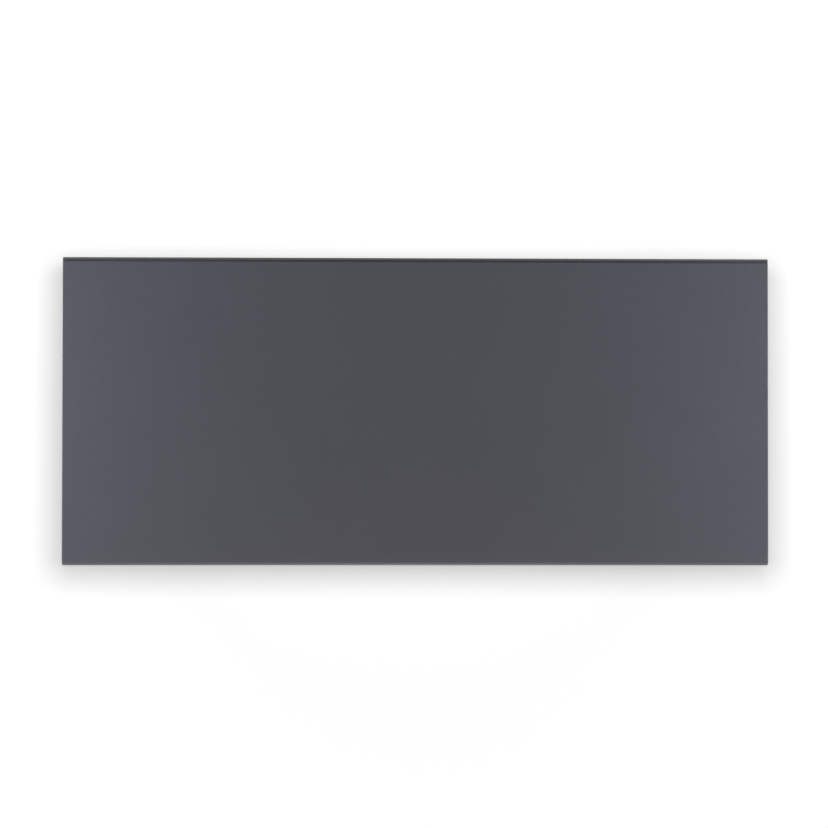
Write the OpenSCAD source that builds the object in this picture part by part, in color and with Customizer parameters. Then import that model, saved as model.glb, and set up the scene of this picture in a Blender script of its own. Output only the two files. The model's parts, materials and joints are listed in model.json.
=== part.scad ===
// Wall-hung electric panel heater: folded steel casing, two finned elements, controls in the top
// cover and a hook bracket on the wall. Sizes are in millimetres.
// The origin is the middle of the wall screws, in the plane of the wall. X runs right as seen
// from the front, Y runs into the wall and Z runs up.

/* [Casing] */
// Width of the casing
panel_w = 850; // [780:10:1200]
// Height of the casing with its top cover
panel_h = 370; // [345:5:480]
// Depth of the casing
casing_d = 72; // [70:1:95]
// Thickness of the painted front sheet
sheet_t = 1; // [0.8:0.1:1.3]
// Outer radius of the front sheet's bends
bend_r = 2; // [1.8:0.1:3]
// Depth of the flanges round the open top and bottom
flange_w = 12; // [10:1:14]
// Width of the return flanges at the back of the side walls
return_w = 13; // [12:1:16]
// Thickness of the rear panel
rear_t = 0.8; // [0.6:0.1:1.2]
// Depth of the stiffeners behind the front face
stiffener_d = 5; // [3:0.5:6]

/* [Top cover] */
// Height of the cover's front lip, which is also the thickness of its plate
lip_h = 2.5; // [2:0.1:4]
// Radius of the lip's outer edges
lip_r = 1.2; // [0.8:0.1:1.6]
// Height of the shadow groove under the lip
groove_h = 2; // [1.5:0.1:3]
// Depth of the shadow groove
groove_d = 3; // [2:0.5:4]
// Thickness of the cover's skirt
skirt_t = 2.5; // [2:0.5:3]
// Distance from the cover's edge to the outlet grille
cover_margin = 11; // [10.5:0.5:12]
// Width of the ledges that the grille and the fascia sit on
ledge_w = 4; // [3.5:0.5:5]

/* [Outlet grille] */
// Depth of the grille below the top face
grille_h = 10; // [8:1:14]
// Distance between the slats
slat_pitch = 7; // [6:0.5:9]
// Thickness of a slat
slat_t = 1.6; // [1.2:0.1:2]
// Tilt of the slats
slat_tilt = 25; // [0:5:30]
// Distance between the cross ribs
rib_pitch = 68; // [40:4:90]

/* [Inlet grille and vents] */
// Length of an inlet slot
slot_l = 28; // [20:1:34]
// Width of an inlet slot
slot_w = 4.5; // [3:0.5:6]
// Distance between inlet slots along the heater
slot_pitch = 36; // [36:1:50]
// Height of a vent in the rear panel
vent_h = 14; // [10:1:18]
// Width of a vent in the rear panel
vent_w = 4; // [3:0.5:6]
// Distance between the vents
vent_pitch = 12; // [10:1:20]

/* [Controls] */
// Width of the control fascia
fascia_w = 124; // [120:2:140]
// Depth of the control fascia
fascia_d = 42; // [40:1:44]
// Thickness of the control fascia
fascia_t = 1.8; // [1.6:0.1:2.2]
// Radius of a push button
button_r = 5.2; // [4:0.1:5.6]
// Distance between the push buttons
button_pitch = 16; // [15:0.5:17]
// Travel of a push button
button_travel = 0.6; // [0.3:0.1:0.8]
// Width of the display window
window_w = 40; // [34:1:42]
// Depth of the display window
window_d = 22; // [16:1:26]

/* [Heating] */
// Depth of an element's fins, front to back
fin_d = 48; // [40:1:50]
// Height of an element's fins
fin_h = 28; // [20:1:34]
// Thickness of a fin
fin_t = 1.4; // [1:0.1:2]
// Radius of the heating rod
rod_r = 4; // [3:0.1:5]
// Distance between the two elements
element_pitch = 60; // [50:2:70]
// Height of the lower element above the bottom of the casing
element_rise = 65; // [60:1:75]

/* [Mains switch and cord inlet] */
// Length of the rocker
rocker_l = 17.6; // [14:0.2:20]
// Width of the rocker
rocker_w = 10.6; // [9:0.2:12]
// Angle that the rocker turns through
rocker_swing = 24; // [16:1:28]
// Radius of the hole that holds the mains cord
cord_hole_r = 3.6; // [3:0.1:4]

/* [Wall bracket] */
// Gap between the wall and the casing
wall_gap = 20; // [18:1:26]
// Distance between the wall screws, side to side
screw_spacing_x = 300; // [240:10:320]
// Distance between the wall screws, top to bottom
screw_spacing_z = 240; // [220:5:260]
// Radius of a wall screw's hole
wall_hole_r = 3.2; // [2.5:0.1:4]
// Distance between the two uprights
upright_spacing = 400; // [380:10:440]
// Width of an upright
upright_w = 36; // [32:1:40]
// Thickness of the bracket's uprights
bracket_t = 1.5; // [1.2:0.1:2]
// Thickness of the bracket's rails
rail_t = 2; // [1.5:0.1:3]
// Height of a rail
rail_h = 40; // [32:1:44]
// Height that the heater lifts to clear the hooks
lift_travel = 12; // [10:0.5:14]
// Height of a hook's neck
hook_neck_h = 8; // [6:0.5:10]

/* [Hidden] */
$fn = 48;

// Clearances
fit_gap = 0.2; // between fixed pieces that sit in each other
slide_gap = 0.3; // round pieces that move
cut = 1; // how far a cut runs past the face that it opens

// Main planes
half_w = panel_w / 2;
top_z = panel_h / 2;
bottom_z = -panel_h / 2;
back_y = -wall_gap;
front_y = back_y - casing_d;
mid_y = (front_y + back_y) / 2;
plate_z = top_z - lip_h; // underside of the cover's plate
shell_top_z = plate_z - groove_h; // top of the sheet metal
front_in_y = front_y + sheet_t;
rear_out_y = back_y - sheet_t;
rear_in_y = rear_out_y - rear_t;
floor_z = bottom_z + sheet_t; // inner face of the bottom flanges
bend_clear = bend_r - sheet_t + fit_gap; // keeps plates out of the inner bends

// Controls
fascia_x1 = half_w - flange_w - 1;
fascia_x0 = fascia_x1 - fascia_w;
fascia_low = [fascia_x0, mid_y - fascia_d / 2];
fascia_high = [fascia_x1, mid_y + fascia_d / 2];
gasket_t = 0.5;
fascia_z = plate_z + gasket_t; // underside of the fascia
fascia_top_z = fascia_z + fascia_t;
board_drop = 10; // top face to display board
board_t = 1.6;
board_boss_r = 2.4;
display_board_z = top_z - board_drop;
button_flange_t = 1.2;
button_flange_z = fascia_z - slide_gap - button_flange_t;
switch_w = 6;
switch_h = 3.5;
switch_z = display_board_z + switch_h;
plunger_r = 1.6;
plunger_in = 1.3; // length of a plunger inside its switch
plunger_z = switch_z + button_travel + 0.7; // top of a plunger at rest
button_y = mid_y - 3;
button_x0 = fascia_x1 - 14 - 3 * button_pitch;
window_t = 1.2;
window_low = [fascia_x0 + ledge_w + 4, mid_y - window_d / 2];
window_high = window_low + [window_w, window_d];
pipe_r = 1;
pipe_y = mid_y + 10;

// Outlet opening in the cover
outlet_low = [-half_w + cover_margin, front_y + cover_margin];
outlet_high = [fascia_x0 - cover_margin, back_y - cover_margin];

// Hot side
partition_t = 0.8;
partition_x = fascia_x0 - 8;
element_x0 = -half_w + 32;
element_x1 = partition_x - 38;
element_zs = [for (i = [0, 1]) bottom_z + element_rise + i * element_pitch];
element_bracket_t = 1;
element_bracket_flange = 12;
bracket_offset = 8; // fins' end to bracket
rod_past = bracket_offset + 10; // how far a rod runs past its fins
bush_r = rod_r + 3;
bush_outer = 4; // how far a bush stands out beyond its bracket
bush_gap = 3; // bush to fins
bush_collar_r = bush_r + 2;
bush_collar_t = 3;
rod_pin_x = element_x1 + rod_past + 5; // end of a rod's terminal pin
element_foot_x0 = element_x0 - bracket_offset - element_bracket_flange / 2;
element_foot_x1 = element_x1 + bracket_offset + element_bracket_flange / 2;
partition_foot_x = partition_x + element_bracket_flange / 2;
shield_t = 0.5;
front_shield_y = front_in_y + stiffener_d + 1;
rear_shield_depth = 8.2;
rear_shield_y = rear_in_y - rear_shield_depth;
shield_drop = 30; // lower element to the bottom of the shields
shield_rise = 45; // upper element to the top of the rear shield
front_shield_rise = 60; // top of the rear shield to the top of the front shield
shield_z0 = element_zs[0] - shield_drop;
shield_z1 = element_zs[1] + shield_rise;

// Fasteners
screw_r = 1.5;
screw_hole_r = 1.6;
screw_head_r = 3;
screw_head_h = 1.8;

// Electronics
board_w = 96;
board_h = 140;
board_x = (partition_x + half_w) / 2;
board_z = 50; // middle of the power board
board_low_z = board_z - board_h / 2;
board_high_z = board_z + board_h / 2;
carrier_t = 2.5;
carrier_tab = 8;
post_h = 10;
post_r = 3.5;
post_inset = 5;
board_back_y = rear_in_y - carrier_t - post_h;
board_front_y = board_back_y - board_t;
terminal_w = 42;
terminal_d = 14;
terminal_h = 16;
terminal_z = board_low_z + 4;
fuse_z = terminal_z + terminal_h + 6; // middles of the rows of parts on the power board
relay_z = fuse_z + 24;
transformer_z = board_high_z - 40;
capacitor_z = board_high_z - 26;
ribbon_z = board_high_z - 18; // where the display's ribbon leaves the board
way_pitch = terminal_w / 5;
way_r = 1.8;
way_in = 6; // how far a lead runs into its way
way_drop = 12; // straight length of a lead below its way
lead_r = 1.2;
earth_x = partition_x + 20;
earth_z = -90;
grommet_y = mid_y + 6;
grommet_z = (element_zs[0] + element_zs[1]) / 2;
grommet_r = 7;

// Mains switch, recessed in the right side wall
switch_y = mid_y;
switch_mid_z = -95;
pocket_wall = 1.5;
pocket_d = 6; // side wall to the switch's face
pivot_depth = 9.5; // side wall to the rocker's pivot
pocket_y = rocker_w / 2 + 3;
pocket_z = rocker_l / 2 + 4;
trunnion_r = 1.25;
trunnion_gap = 0.08;
trunnion_l = 1.5;
rocker_gap = 0.4;

// Cord inlet on the rear panel
inlet_x = partition_x + 66;
inlet_z = bottom_z + 40;
inlet_neck_r = 6.8;
inlet_y = back_y + 9; // middle of the cord's way down
inlet_bore_l = 16;
inlet_mouth_z = inlet_z - 22;
inlet_rise = 30; // inlet to the middle of its leads' bend

// Wall spacers under the rear corners
spacer_r = 9;
spacer_core_r = 5;
spacer_side = 35; // side of the casing to a spacer's middle
spacer_rise = 25; // bottom of the casing to a spacer's middle

// Wall bracket
upright_base_y = -rail_t;
upright_h = screw_spacing_z + 60;
upright_tip_y = rear_out_y + slide_gap;
hook_z = [-100, 100]; // underside of the hooks' necks
hook_lip_h = 8;
hook_lip_t = 1.5;
hook_lip_gap = 1;
hook_seat_gap = 0.2;
hook_slot_gap = 1;
rivet_r = 2;
rivet_head_r = 4;
rivet_head_h = 1.5;
rivet_x = 9;

// Colours
paint = "#52545b";
moulding = "#3b3c40";
gloss_black = "#141416";
galvanised = "#a9adb1";
aluminium = "#c3c6c9";
ceramic = "#e9e4d8";
green_board = "#2f6b45";
brass = "#c9a24b";
rubber = "#1d1d1f";

// Box between two corners
module box(low, high) {
    translate(low)
        cube(high - low);
}

// Flat outline in X and Y, raised from z0 to z1
module along_z(z0, z1) {
    translate([0, 0, z0])
        linear_extrude(z1 - z0)
            children();
}

// Flat outline in Y and Z, run from x0 to x1
module along_x(x0, x1) {
    translate([x0, 0, 0])
        rotate([90, 0, 90])
            linear_extrude(x1 - x0)
                children();
}

// Flat outline in X and Z, run from y0 to y1
module along_y(y0, y1) {
    translate([0, y1, 0])
        rotate([90, 0, 0])
            linear_extrude(y1 - y0)
                children();
}

// Round bar along X
module rod_x(r, x0, x1, y, z) {
    translate([x0, y, z])
        rotate([0, 90, 0])
            cylinder(r = r, h = x1 - x0);
}

// Round bar along Y
module rod_y(r, y0, y1, x, z) {
    translate([x, y1, z])
        rotate([90, 0, 0])
            cylinder(r = r, h = y1 - y0);
}

// Round bar along Z
module rod_z(r, z0, z1, x, y) {
    translate([x, y, z0])
        cylinder(r = r, h = z1 - z0);
}

// Flat rectangle between two corners
module rect(low, high) {
    translate(low)
        square(high - low);
}

// Flat rectangle with round corners
module round_rect(low, high, r) {
    rect(low + [r, 0], high - [r, 0]);
    rect(low + [0, r], high - [0, r]);
    for (x = [low.x + r, high.x - r], y = [low.y + r, high.y - r])
        translate([x, y])
            circle(r);
}

// Flat slot with round ends, along the first axis
module slot_2d(length, width) {
    square([length - width, width], center = true);
    for (x = [-1, 1] * (length - width) / 2)
        translate([x, 0])
            circle(width / 2);
}

// Frame between an outline and the same outline drawn in by a width
module frame_2d(low, high, width) {
    difference() {
        rect(low, high);
        rect(low + [width, width], high - [width, width]);
    }
}

// Evenly spaced places about a middle, as many as fit in a length
function spread(length, pitch, middle = 0) =
    let (count = max(1, floor(length / pitch)))
    [for (i = [0:count - 1]) middle + (i - (count - 1) / 2) * pitch];

// Places where the rear panel meets a hook: one on each flange of both uprights
function hook_xs() =
    [for (upright = [-1, 1], flange = [-1, 1])
        upright * upright_spacing / 2 + flange * (upright_w - bracket_t) / 2];

// Screw with its head's underside at the origin, its shank pointing down
module screw(length) {
    difference() {
        cylinder(r = screw_head_r, h = screw_head_h);
        translate([0, 0, screw_head_h])
            cube([screw_head_r * 1.2, 0.8, 1.6], center = true);
        translate([0, 0, screw_head_h])
            cube([0.8, screw_head_r * 1.2, 1.6], center = true);
    }
    translate([0, 0, -length])
        cylinder(r = screw_r, h = length);
}

// Screw driven from behind, its head against a face that looks to the wall
module screw_from_behind(x, y, z, length) {
    translate([x, y, z])
        rotate([-90, 0, 0])
            screw(length);
}

// Solid block of the casing with round front edges, drawn in from its faces
module casing_block(inset) {
    r = bend_r - inset;
    x = half_w - inset;
    y = front_y + inset;
    far = back_y + 2 * bend_r;
    intersection() {
        along_z(bottom_z + inset, shell_top_z - inset)
            round_rect([-x, y], [x, far], r);
        along_x(-x, x)
            round_rect([y, bottom_z + inset], [far, shell_top_z - inset], r);
        along_y(y, back_y - inset)
            round_rect([-x, bottom_z + inset], [x, top_z + 2 * bend_r], r);
    }
}

// Places of the casing screws in the return flanges
function casing_screw_places() =
    [for (side = [-1, 1], z = [-1, -1 / 3, 1 / 3, 1] * (panel_h / 2 - 35))
        [side * (half_w - sheet_t - return_w / 2 + 1), z]];

module front_panel() {
    edge_x = half_w - flange_w;
    color(paint)
        difference() {
            casing_block(0);
            casing_block(sheet_t);
            // open top and bottom inside their flanges
            box([-edge_x, front_y + flange_w, bottom_z - cut],
                [edge_x, back_y + cut, shell_top_z + cut]);
            // open back between the return flanges
            box([-(half_w - return_w), rear_out_y - cut, bottom_z - cut],
                [half_w - return_w, back_y + cut, shell_top_z + cut]);
            // corner reliefs where the top folds meet
            for (side = [-1, 1])
                translate([side * half_w, front_y, shell_top_z])
                    cube([5, 5, 3], center = true);
            // opening for the mains switch
            box([half_w - sheet_t - cut, switch_y - pocket_y, switch_mid_z - pocket_z],
                [half_w + cut, switch_y + pocket_y, switch_mid_z + pocket_z]);
            for (place = casing_screw_places())
                rod_y(screw_hole_r, rear_out_y - cut / 2, back_y + cut, place.x, place.y);
            for (place = grille_screw_places())
                rod_z(screw_hole_r, bottom_z - cut, floor_z + cut, place.x, place.y);
        }
}

// Hat-shaped cross-section: crown, two webs and two feet along the first axis
module hat_2d(crown_w, depth, foot_w, t) {
    web = crown_w / 2;
    foot = web + foot_w;
    polygon([
        [-foot, 0], [t - web, 0], [t - web, depth - t], [web - t, depth - t], [web - t, 0],
        [foot, 0], [foot, t], [web, t], [web, depth], [-web, depth], [-web, t], [-foot, t]
    ]);
}

module front_stiffeners() {
    clear = 12;
    color(galvanised)
        for (x = [-1, 1] * panel_w / 6)
            translate([x, front_in_y, 0])
                along_z(floor_z + clear, shell_top_z - sheet_t - clear)
                    hat_2d(24, stiffener_d, 10, 0.8);
}

// Screws that hold pieces to the rear panel from behind, as [x, z]
function rear_screw_places() = concat(
    [for (x = [element_foot_x0, element_foot_x1], z = element_zs) [x, z]],
    [for (x = [-1, 1] * upright_spacing * 0.3, z = [shield_z0 - 4, shield_z1 + 4]) [x, z]],
    [for (z = [bottom_z + 40, 0, top_z - 40]) [partition_foot_x, z]],
    [for (side = [-1, 1]) [board_x, board_z + side * (board_h + carrier_tab) / 2]]
);

module rear_panel() {
    side_x = half_w - sheet_t - bend_clear;
    flange_x = half_w - flange_w - fit_gap;
    color(paint)
        difference() {
            union() {
                box([-side_x, rear_in_y, floor_z + fit_gap],
                    [side_x, rear_out_y, shell_top_z - sheet_t - fit_gap]);
                for (z = [bottom_z, shell_top_z - rear_t])
                    box([-flange_x, back_y - flange_w, z],
                        [flange_x, rear_out_y, z + rear_t]);
                box([-flange_x, rear_in_y, bottom_z], [flange_x, rear_out_y, shell_top_z]);
            }
            // hook slots, tall enough for the lift
            for (x = hook_xs(), z = hook_z)
                box([x - bracket_t / 2 - hook_slot_gap, rear_in_y - cut, z - lift_travel - 2],
                    [x + bracket_t / 2 + hook_slot_gap, rear_out_y + cut,
                     z + hook_neck_h + hook_seat_gap]);
            // vents along the bottom
            for (x = spread(element_x1 - element_x0, vent_pitch, (element_x0 + element_x1) / 2))
                translate([x, 0, bottom_z + 9 + vent_h / 2])
                    along_y(rear_in_y - cut, rear_out_y + cut)
                        rotate(90)
                            slot_2d(vent_h, vent_w);
            rod_y(inlet_neck_r + fit_gap, rear_in_y - cut, rear_out_y + cut, inlet_x, inlet_z);
            for (place = concat(casing_screw_places(), rear_screw_places()))
                rod_y(screw_hole_r, rear_in_y - cut, rear_out_y + cut, place.x, place.y);
        }
}

// Plate of the top cover with round outer edges
module cover_plate() {
    far = 2 * bend_r;
    intersection() {
        along_z(plate_z, top_z)
            round_rect([-half_w, front_y], [half_w, back_y + far], bend_r);
        along_x(-half_w, half_w)
            round_rect([front_y, plate_z - far], [back_y, top_z], lip_r);
        along_y(front_y, back_y)
            round_rect([-half_w, plate_z - far], [half_w, top_z], lip_r);
    }
}

// Ledge round a window in the cover
module ledge(low, high) {
    wall = [1.5, 1.5];
    along_z(shell_top_z, plate_z)
        rect(low - wall, high + wall);
}

// Clip that hooks under the front or rear flange of the casing
module cover_clip(x, side) {
    clip_w = 14;
    clip_t = 1.8;
    edge = casing_d / 2 - flange_w - fit_gap;
    barb_z = shell_top_z - max(sheet_t, rear_t) - fit_gap;
    translate([x - clip_w / 2, mid_y, 0])
        mirror([0, side > 0 ? 0 : 1, 0]) {
            box([0, edge - clip_t, barb_z - 3], [clip_w, edge, plate_z]);
            box([0, edge - clip_t, barb_z - 3], [clip_w, edge + 1.3, barb_z]);
        }
}

function display_boss_places() =
    [for (x = [fascia_low.x, fascia_high.x], y = [fascia_low.y, fascia_high.y])
        [x + sign(board_centre().x - x) * board_boss_r, y + sign(mid_y - y) * board_boss_r]];
function board_centre() = (fascia_low + fascia_high) / 2;

module top_cover() {
    side_low = [-half_w, front_y + groove_d];
    side_high = [half_w, back_y];
    outlet_w = outlet_high.x - outlet_low.x;
    color(moulding)
        difference() {
            union() {
                cover_plate();
                along_z(shell_top_z, plate_z)
                    frame_2d(side_low, side_high, skirt_t);
                ledge(outlet_low, outlet_high);
                ledge(fascia_low, fascia_high);
                for (x = spread(outlet_w - 60, 170, (outlet_low.x + outlet_high.x) / 2))
                    for (side = [-1, 1])
                        cover_clip(x, side);
                for (place = display_boss_places())
                    rod_z(board_boss_r, display_board_z, plate_z, place.x, place.y);
            }
            along_z(plate_z, top_z + cut) {
                rect(outlet_low, outlet_high);
                rect(fascia_low, fascia_high);
            }
            along_z(shell_top_z - cut, plate_z + cut)
                for (window = [[outlet_low, outlet_high], [fascia_low, fascia_high]])
                    rect(window[0] + [1, 1] * ledge_w, window[1] - [1, 1] * ledge_w);
            for (place = display_boss_places())
                rod_z(screw_r - 0.4, display_board_z - cut, plate_z - 1, place.x, place.y);
        }
}

module outlet_grille() {
    gap = [1, 1] * fit_gap;
    rim = [1, 1] * (ledge_w + fit_gap);
    wall = 1.8;
    rim_z = top_z - 0.4;
    low = outlet_low + rim;
    high = outlet_high - rim;
    inner_d = high.y - low.y - 2 * wall;
    slat_h = grille_h - 2;
    color(moulding) {
        along_z(plate_z, rim_z)
            difference() {
                rect(outlet_low + gap, outlet_high - gap);
                rect(low + [wall, wall], high - [wall, wall]);
            }
        along_z(top_z - grille_h, plate_z)
            frame_2d(low, high, wall);
        for (x = spread(high.x - low.x, rib_pitch, (low.x + high.x) / 2))
            box([x - slat_t / 2, low.y + wall / 2, top_z - grille_h + 0.5],
                [x + slat_t / 2, high.y - wall / 2, rim_z - 0.8]);
        for (y = spread(inner_d, slat_pitch, mid_y))
            translate([low.x + wall / 2, y, rim_z - slat_h / 2 - 0.4])
                rotate([slat_tilt, 0, 0])
                    translate([0, -slat_t / 2, -slat_h / 2])
                        cube([high.x - low.x - wall, slat_t, slat_h]);
    }
}

// Screws that hold the inlet grille to the front flange, as [x, y]
function grille_screw_places() =
    [for (x = [-0.9, -0.3, 0.3, 0.9] * (half_w - flange_w)) [x, front_y + flange_w / 2]];

module bottom_grille() {
    x = half_w - sheet_t - bend_clear;
    rows = spread(casing_d - 2 * flange_w, slot_w * 2, mid_y);
    color(galvanised)
        difference() {
            box([-x, front_in_y + bend_clear, floor_z],
                [x, rear_in_y - fit_gap, floor_z + partition_t]);
            along_z(floor_z - cut, floor_z + partition_t + cut)
                for (slot_x = spread(2 * x - 40, slot_pitch), slot_y = rows)
                    translate([slot_x, slot_y])
                        slot_2d(slot_l, slot_w);
            for (place = grille_screw_places())
                rod_z(screw_hole_r, floor_z - cut, floor_z + partition_t + cut, place.x, place.y);
        }
}

module partition_plate() {
    z0 = floor_z + partition_t;
    z1 = display_board_z - 6;
    color(galvanised)
        difference() {
            union() {
                box([partition_x, front_shield_y, z0],
                    [partition_x + partition_t, rear_in_y, z1]);
                box([partition_x, rear_in_y - partition_t, z0],
                    [partition_x + element_bracket_flange, rear_in_y, z1]);
            }
            rod_x(grommet_r, partition_x - cut, partition_x + partition_t + cut,
                  grommet_y, grommet_z);
            for (place = rear_screw_places())
                if (place.x == partition_foot_x)
                    rod_y(screw_hole_r, rear_in_y - partition_t - cut, rear_in_y + cut,
                          place.x, place.y);
        }
}

module partition_grommet() {
    rim_t = 1.5;
    x0 = partition_x - rim_t;
    x1 = partition_x + partition_t + rim_t;
    color(rubber)
        difference() {
            union() {
                rod_x(grommet_r - fit_gap / 2, x0, x1, grommet_y, grommet_z);
                rod_x(grommet_r + 2, x0, partition_x, grommet_y, grommet_z);
                rod_x(grommet_r + 2, partition_x + partition_t, x1, grommet_y, grommet_z);
            }
            rod_x(grommet_r - 2, x0 - cut, x1 + cut, grommet_y, grommet_z);
        }
}

module wall_spacers() {
    color(rubber)
        for (side = [-1, 1])
            translate([side * (half_w - spacer_side), 0, bottom_z + spacer_rise])
                difference() {
                    rod_y(spacer_r, rear_out_y, -slide_gap, 0, 0);
                    rod_y(spacer_core_r, -3, cut, 0, 0);
                }
}

module control_fascia() {
    gap = [1, 1] * fit_gap;
    step = [1, 1] * 2;
    color(gloss_black)
        difference() {
            along_z(fascia_z, fascia_top_z)
                rect(fascia_low + gap, fascia_high - gap);
            for (i = [0:3]) {
                rod_z(button_r + slide_gap, fascia_z - cut, fascia_top_z + cut,
                      button_x(i), button_y);
                rod_z(pipe_r + fit_gap / 2, fascia_z - cut, fascia_top_z + cut,
                      button_x(i), pipe_y);
            }
            along_z(fascia_z - cut, fascia_top_z + cut)
                rect(window_low + step, window_high - step);
            along_z(fascia_top_z - window_t, fascia_top_z + cut)
                rect(window_low, window_high);
        }
}
function button_x(i) = button_x0 + i * button_pitch;

module fascia_gasket() {
    gap = [1, 1] * fit_gap;
    color(rubber)
        along_z(plate_z, fascia_z)
            frame_2d(fascia_low + gap, fascia_high - gap, ledge_w - fit_gap);
}

module display_window() {
    gap = [1, 1] * fit_gap;
    color("#26262a")
        along_z(fascia_top_z - window_t, fascia_top_z)
            rect(window_low + gap, window_high - gap);
}

module display_module() {
    inset = [1, 1] * 2.5;
    color("#1a1a1c")
        along_z(display_board_z, fascia_z - slide_gap)
            rect(window_low + inset, window_high - inset);
}

module display_board() {
    color(green_board)
        difference() {
            union() {
                along_z(display_board_z - board_t, display_board_z)
                    rect(fascia_low, fascia_high);
                // indicator lamps under the light pipes
                for (i = [0:3])
                    box([button_x(i) - 1.5, pipe_y - 1, display_board_z],
                        [button_x(i) + 1.5, pipe_y + 1, display_board_z + 1.2]);
            }
            for (place = display_boss_places())
                rod_z(screw_hole_r, display_board_z - board_t - cut, display_board_z + cut,
                      place.x, place.y);
        }
}

module tact_switches() {
    color(gloss_black)
        for (i = [0:3])
            difference() {
                translate([button_x(i) - switch_w / 2, button_y - switch_w / 2, display_board_z])
                    cube([switch_w, switch_w, switch_h]);
                rod_z(plunger_r + slide_gap, switch_z - plunger_in - button_travel - slide_gap,
                      switch_z + cut, button_x(i), button_y);
            }
}

module status_light_pipes() {
    color("white")
        for (i = [0:3])
            rod_z(pipe_r, display_board_z + 1.2, fascia_top_z, button_x(i), pipe_y);
}

module radio_module() {
    under_z = display_board_z - board_t;
    x = button_x(1);
    color(galvanised) {
        box([x - 13, mid_y - 9, under_z - 0.8], [x + 13, mid_y + 9, under_z]);
        box([x - 11, mid_y - 8, under_z - 3], [x + 6, mid_y + 8, under_z - 0.8]);
    }
}

// Push button: cap, retaining flange and stem down to its switch
module push_button(i) {
    color(moulding) {
        rod_z(button_r, button_flange_z, fascia_top_z + 0.1, button_x(i), button_y);
        rod_z(button_r + 1, button_flange_z, button_flange_z + button_flange_t,
              button_x(i), button_y);
        rod_z(plunger_r, plunger_z, button_flange_z, button_x(i), button_y);
    }
}

module button_power() {
    push_button(0);
}

module button_minus() {
    push_button(1);
}

module button_plus() {
    push_button(2);
}

module button_mode() {
    push_button(3);
}

// Plunger of one tact switch
module switch_plunger(i) {
    color(aluminium)
        rod_z(plunger_r, switch_z - plunger_in, plunger_z, button_x(i), button_y);
}

module plunger_power() {
    switch_plunger(0);
}

module plunger_minus() {
    switch_plunger(1);
}

module plunger_plus() {
    switch_plunger(2);
}

module plunger_mode() {
    switch_plunger(3);
}

// Cross-section of a finned element: hub with four slanted fins and their side fins
module fins_2d() {
    reach = [fin_d / 2, fin_h / 2];
    angle = atan2(reach.y, reach.x);
    arm = norm(reach) - fin_t;
    side_fin = fin_h / 4;
    difference() {
        union() {
            circle(rod_r + 2.2);
            for (mx = [0, 1], my = [0, 1])
                mirror([mx, 0])
                    mirror([0, my]) {
                        rotate(angle)
                            translate([0, -fin_t / 2])
                                square([arm, fin_t]);
                        for (share = [0.5, 0.78])
                            translate([share * reach.x, 0.45 * fin_t])
                                square([fin_t, share * reach.y]);
                    }
        }
        circle(rod_r + fit_gap / 2);
        translate([0, -0.5])
            square([reach.x, 0.9]);
    }
}

module element_fins() {
    color(aluminium)
        for (z = element_zs)
            translate([0, mid_y, z])
                along_x(element_x0, element_x1)
                    fins_2d();
}

module element_rods() {
    color(galvanised)
        for (z = element_zs) {
            rod_x(rod_r, element_x0 - rod_past, element_x1 + rod_past, mid_y, z);
            rod_x(lead_r, element_x1 + rod_past, rod_pin_x, mid_y, z);
        }
}

module ceramic_bushes() {
    color(ceramic)
        for (z = element_zs, side = [0, 1])
            translate([side > 0 ? element_x1 + bracket_offset : element_x0 - bracket_offset, mid_y, z])
                mirror([side, 0, 0])
                    difference() {
                        union() {
                            rod_x(bush_r, -bush_outer, bracket_offset - bush_gap, 0, 0);
                            rod_x(bush_collar_r, 0, bush_collar_t, 0, 0);
                        }
                        rod_x(rod_r + fit_gap / 2, -bush_outer - cut, bracket_offset, 0, 0);
                    }
}

// Bracket that carries one end of both elements, drawn for the right end
module element_bracket(x) {
    z0 = element_zs[0] - 24;
    z1 = element_zs[1] + 24;
    y0 = front_shield_y;
    flange = element_bracket_flange;
    difference() {
        union() {
            box([x, y0, z0], [x + element_bracket_t, rear_in_y, z1]);
            box([x, y0, z0], [x + flange, y0 + element_bracket_t, z1]);
            box([x, rear_in_y - element_bracket_t, z0], [x + flange, rear_in_y, z1]);
        }
        for (z = element_zs) {
            rod_x(bush_r + fit_gap / 2, x - cut, x + element_bracket_t + cut, mid_y, z);
            for (y = [y0 - cut, rear_in_y - element_bracket_t - cut])
                rod_y(screw_hole_r, y, y + element_bracket_t + 2 * cut, x + flange / 2, z);
        }
    }
}

module element_bracket_left() {
    color(galvanised)
        mirror([1, 0, 0])
            element_bracket(-(element_x0 - bracket_offset));
}

module element_bracket_right() {
    color(galvanised)
        element_bracket(element_x1 + bracket_offset);
}

module front_heat_shield() {
    x0 = element_x0 - bracket_offset - element_bracket_flange;
    x1 = element_x1 + bracket_offset + element_bracket_flange;
    color(aluminium)
        difference() {
            box([x0, front_shield_y - shield_t, shield_z0],
                [x1, front_shield_y, shield_z1 + front_shield_rise]);
            for (x = [element_foot_x0, element_foot_x1], z = element_zs)
                rod_y(screw_hole_r, front_shield_y - shield_t - cut, front_shield_y + cut, x, z);
        }
}

module rear_heat_shield() {
    z = (shield_z0 + shield_z1) / 2;
    color(aluminium)
        difference() {
            translate([0, rear_in_y, z])
                along_x(element_x0 + 4, element_x1 - 4)
                    rotate(90)
                        hat_2d(shield_z1 - shield_z0, rear_shield_depth, 8, shield_t);
            for (place = rear_screw_places())
                rod_y(screw_hole_r, rear_in_y - 2 * cut, rear_in_y + cut, place.x, place.y);
        }
}

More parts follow.
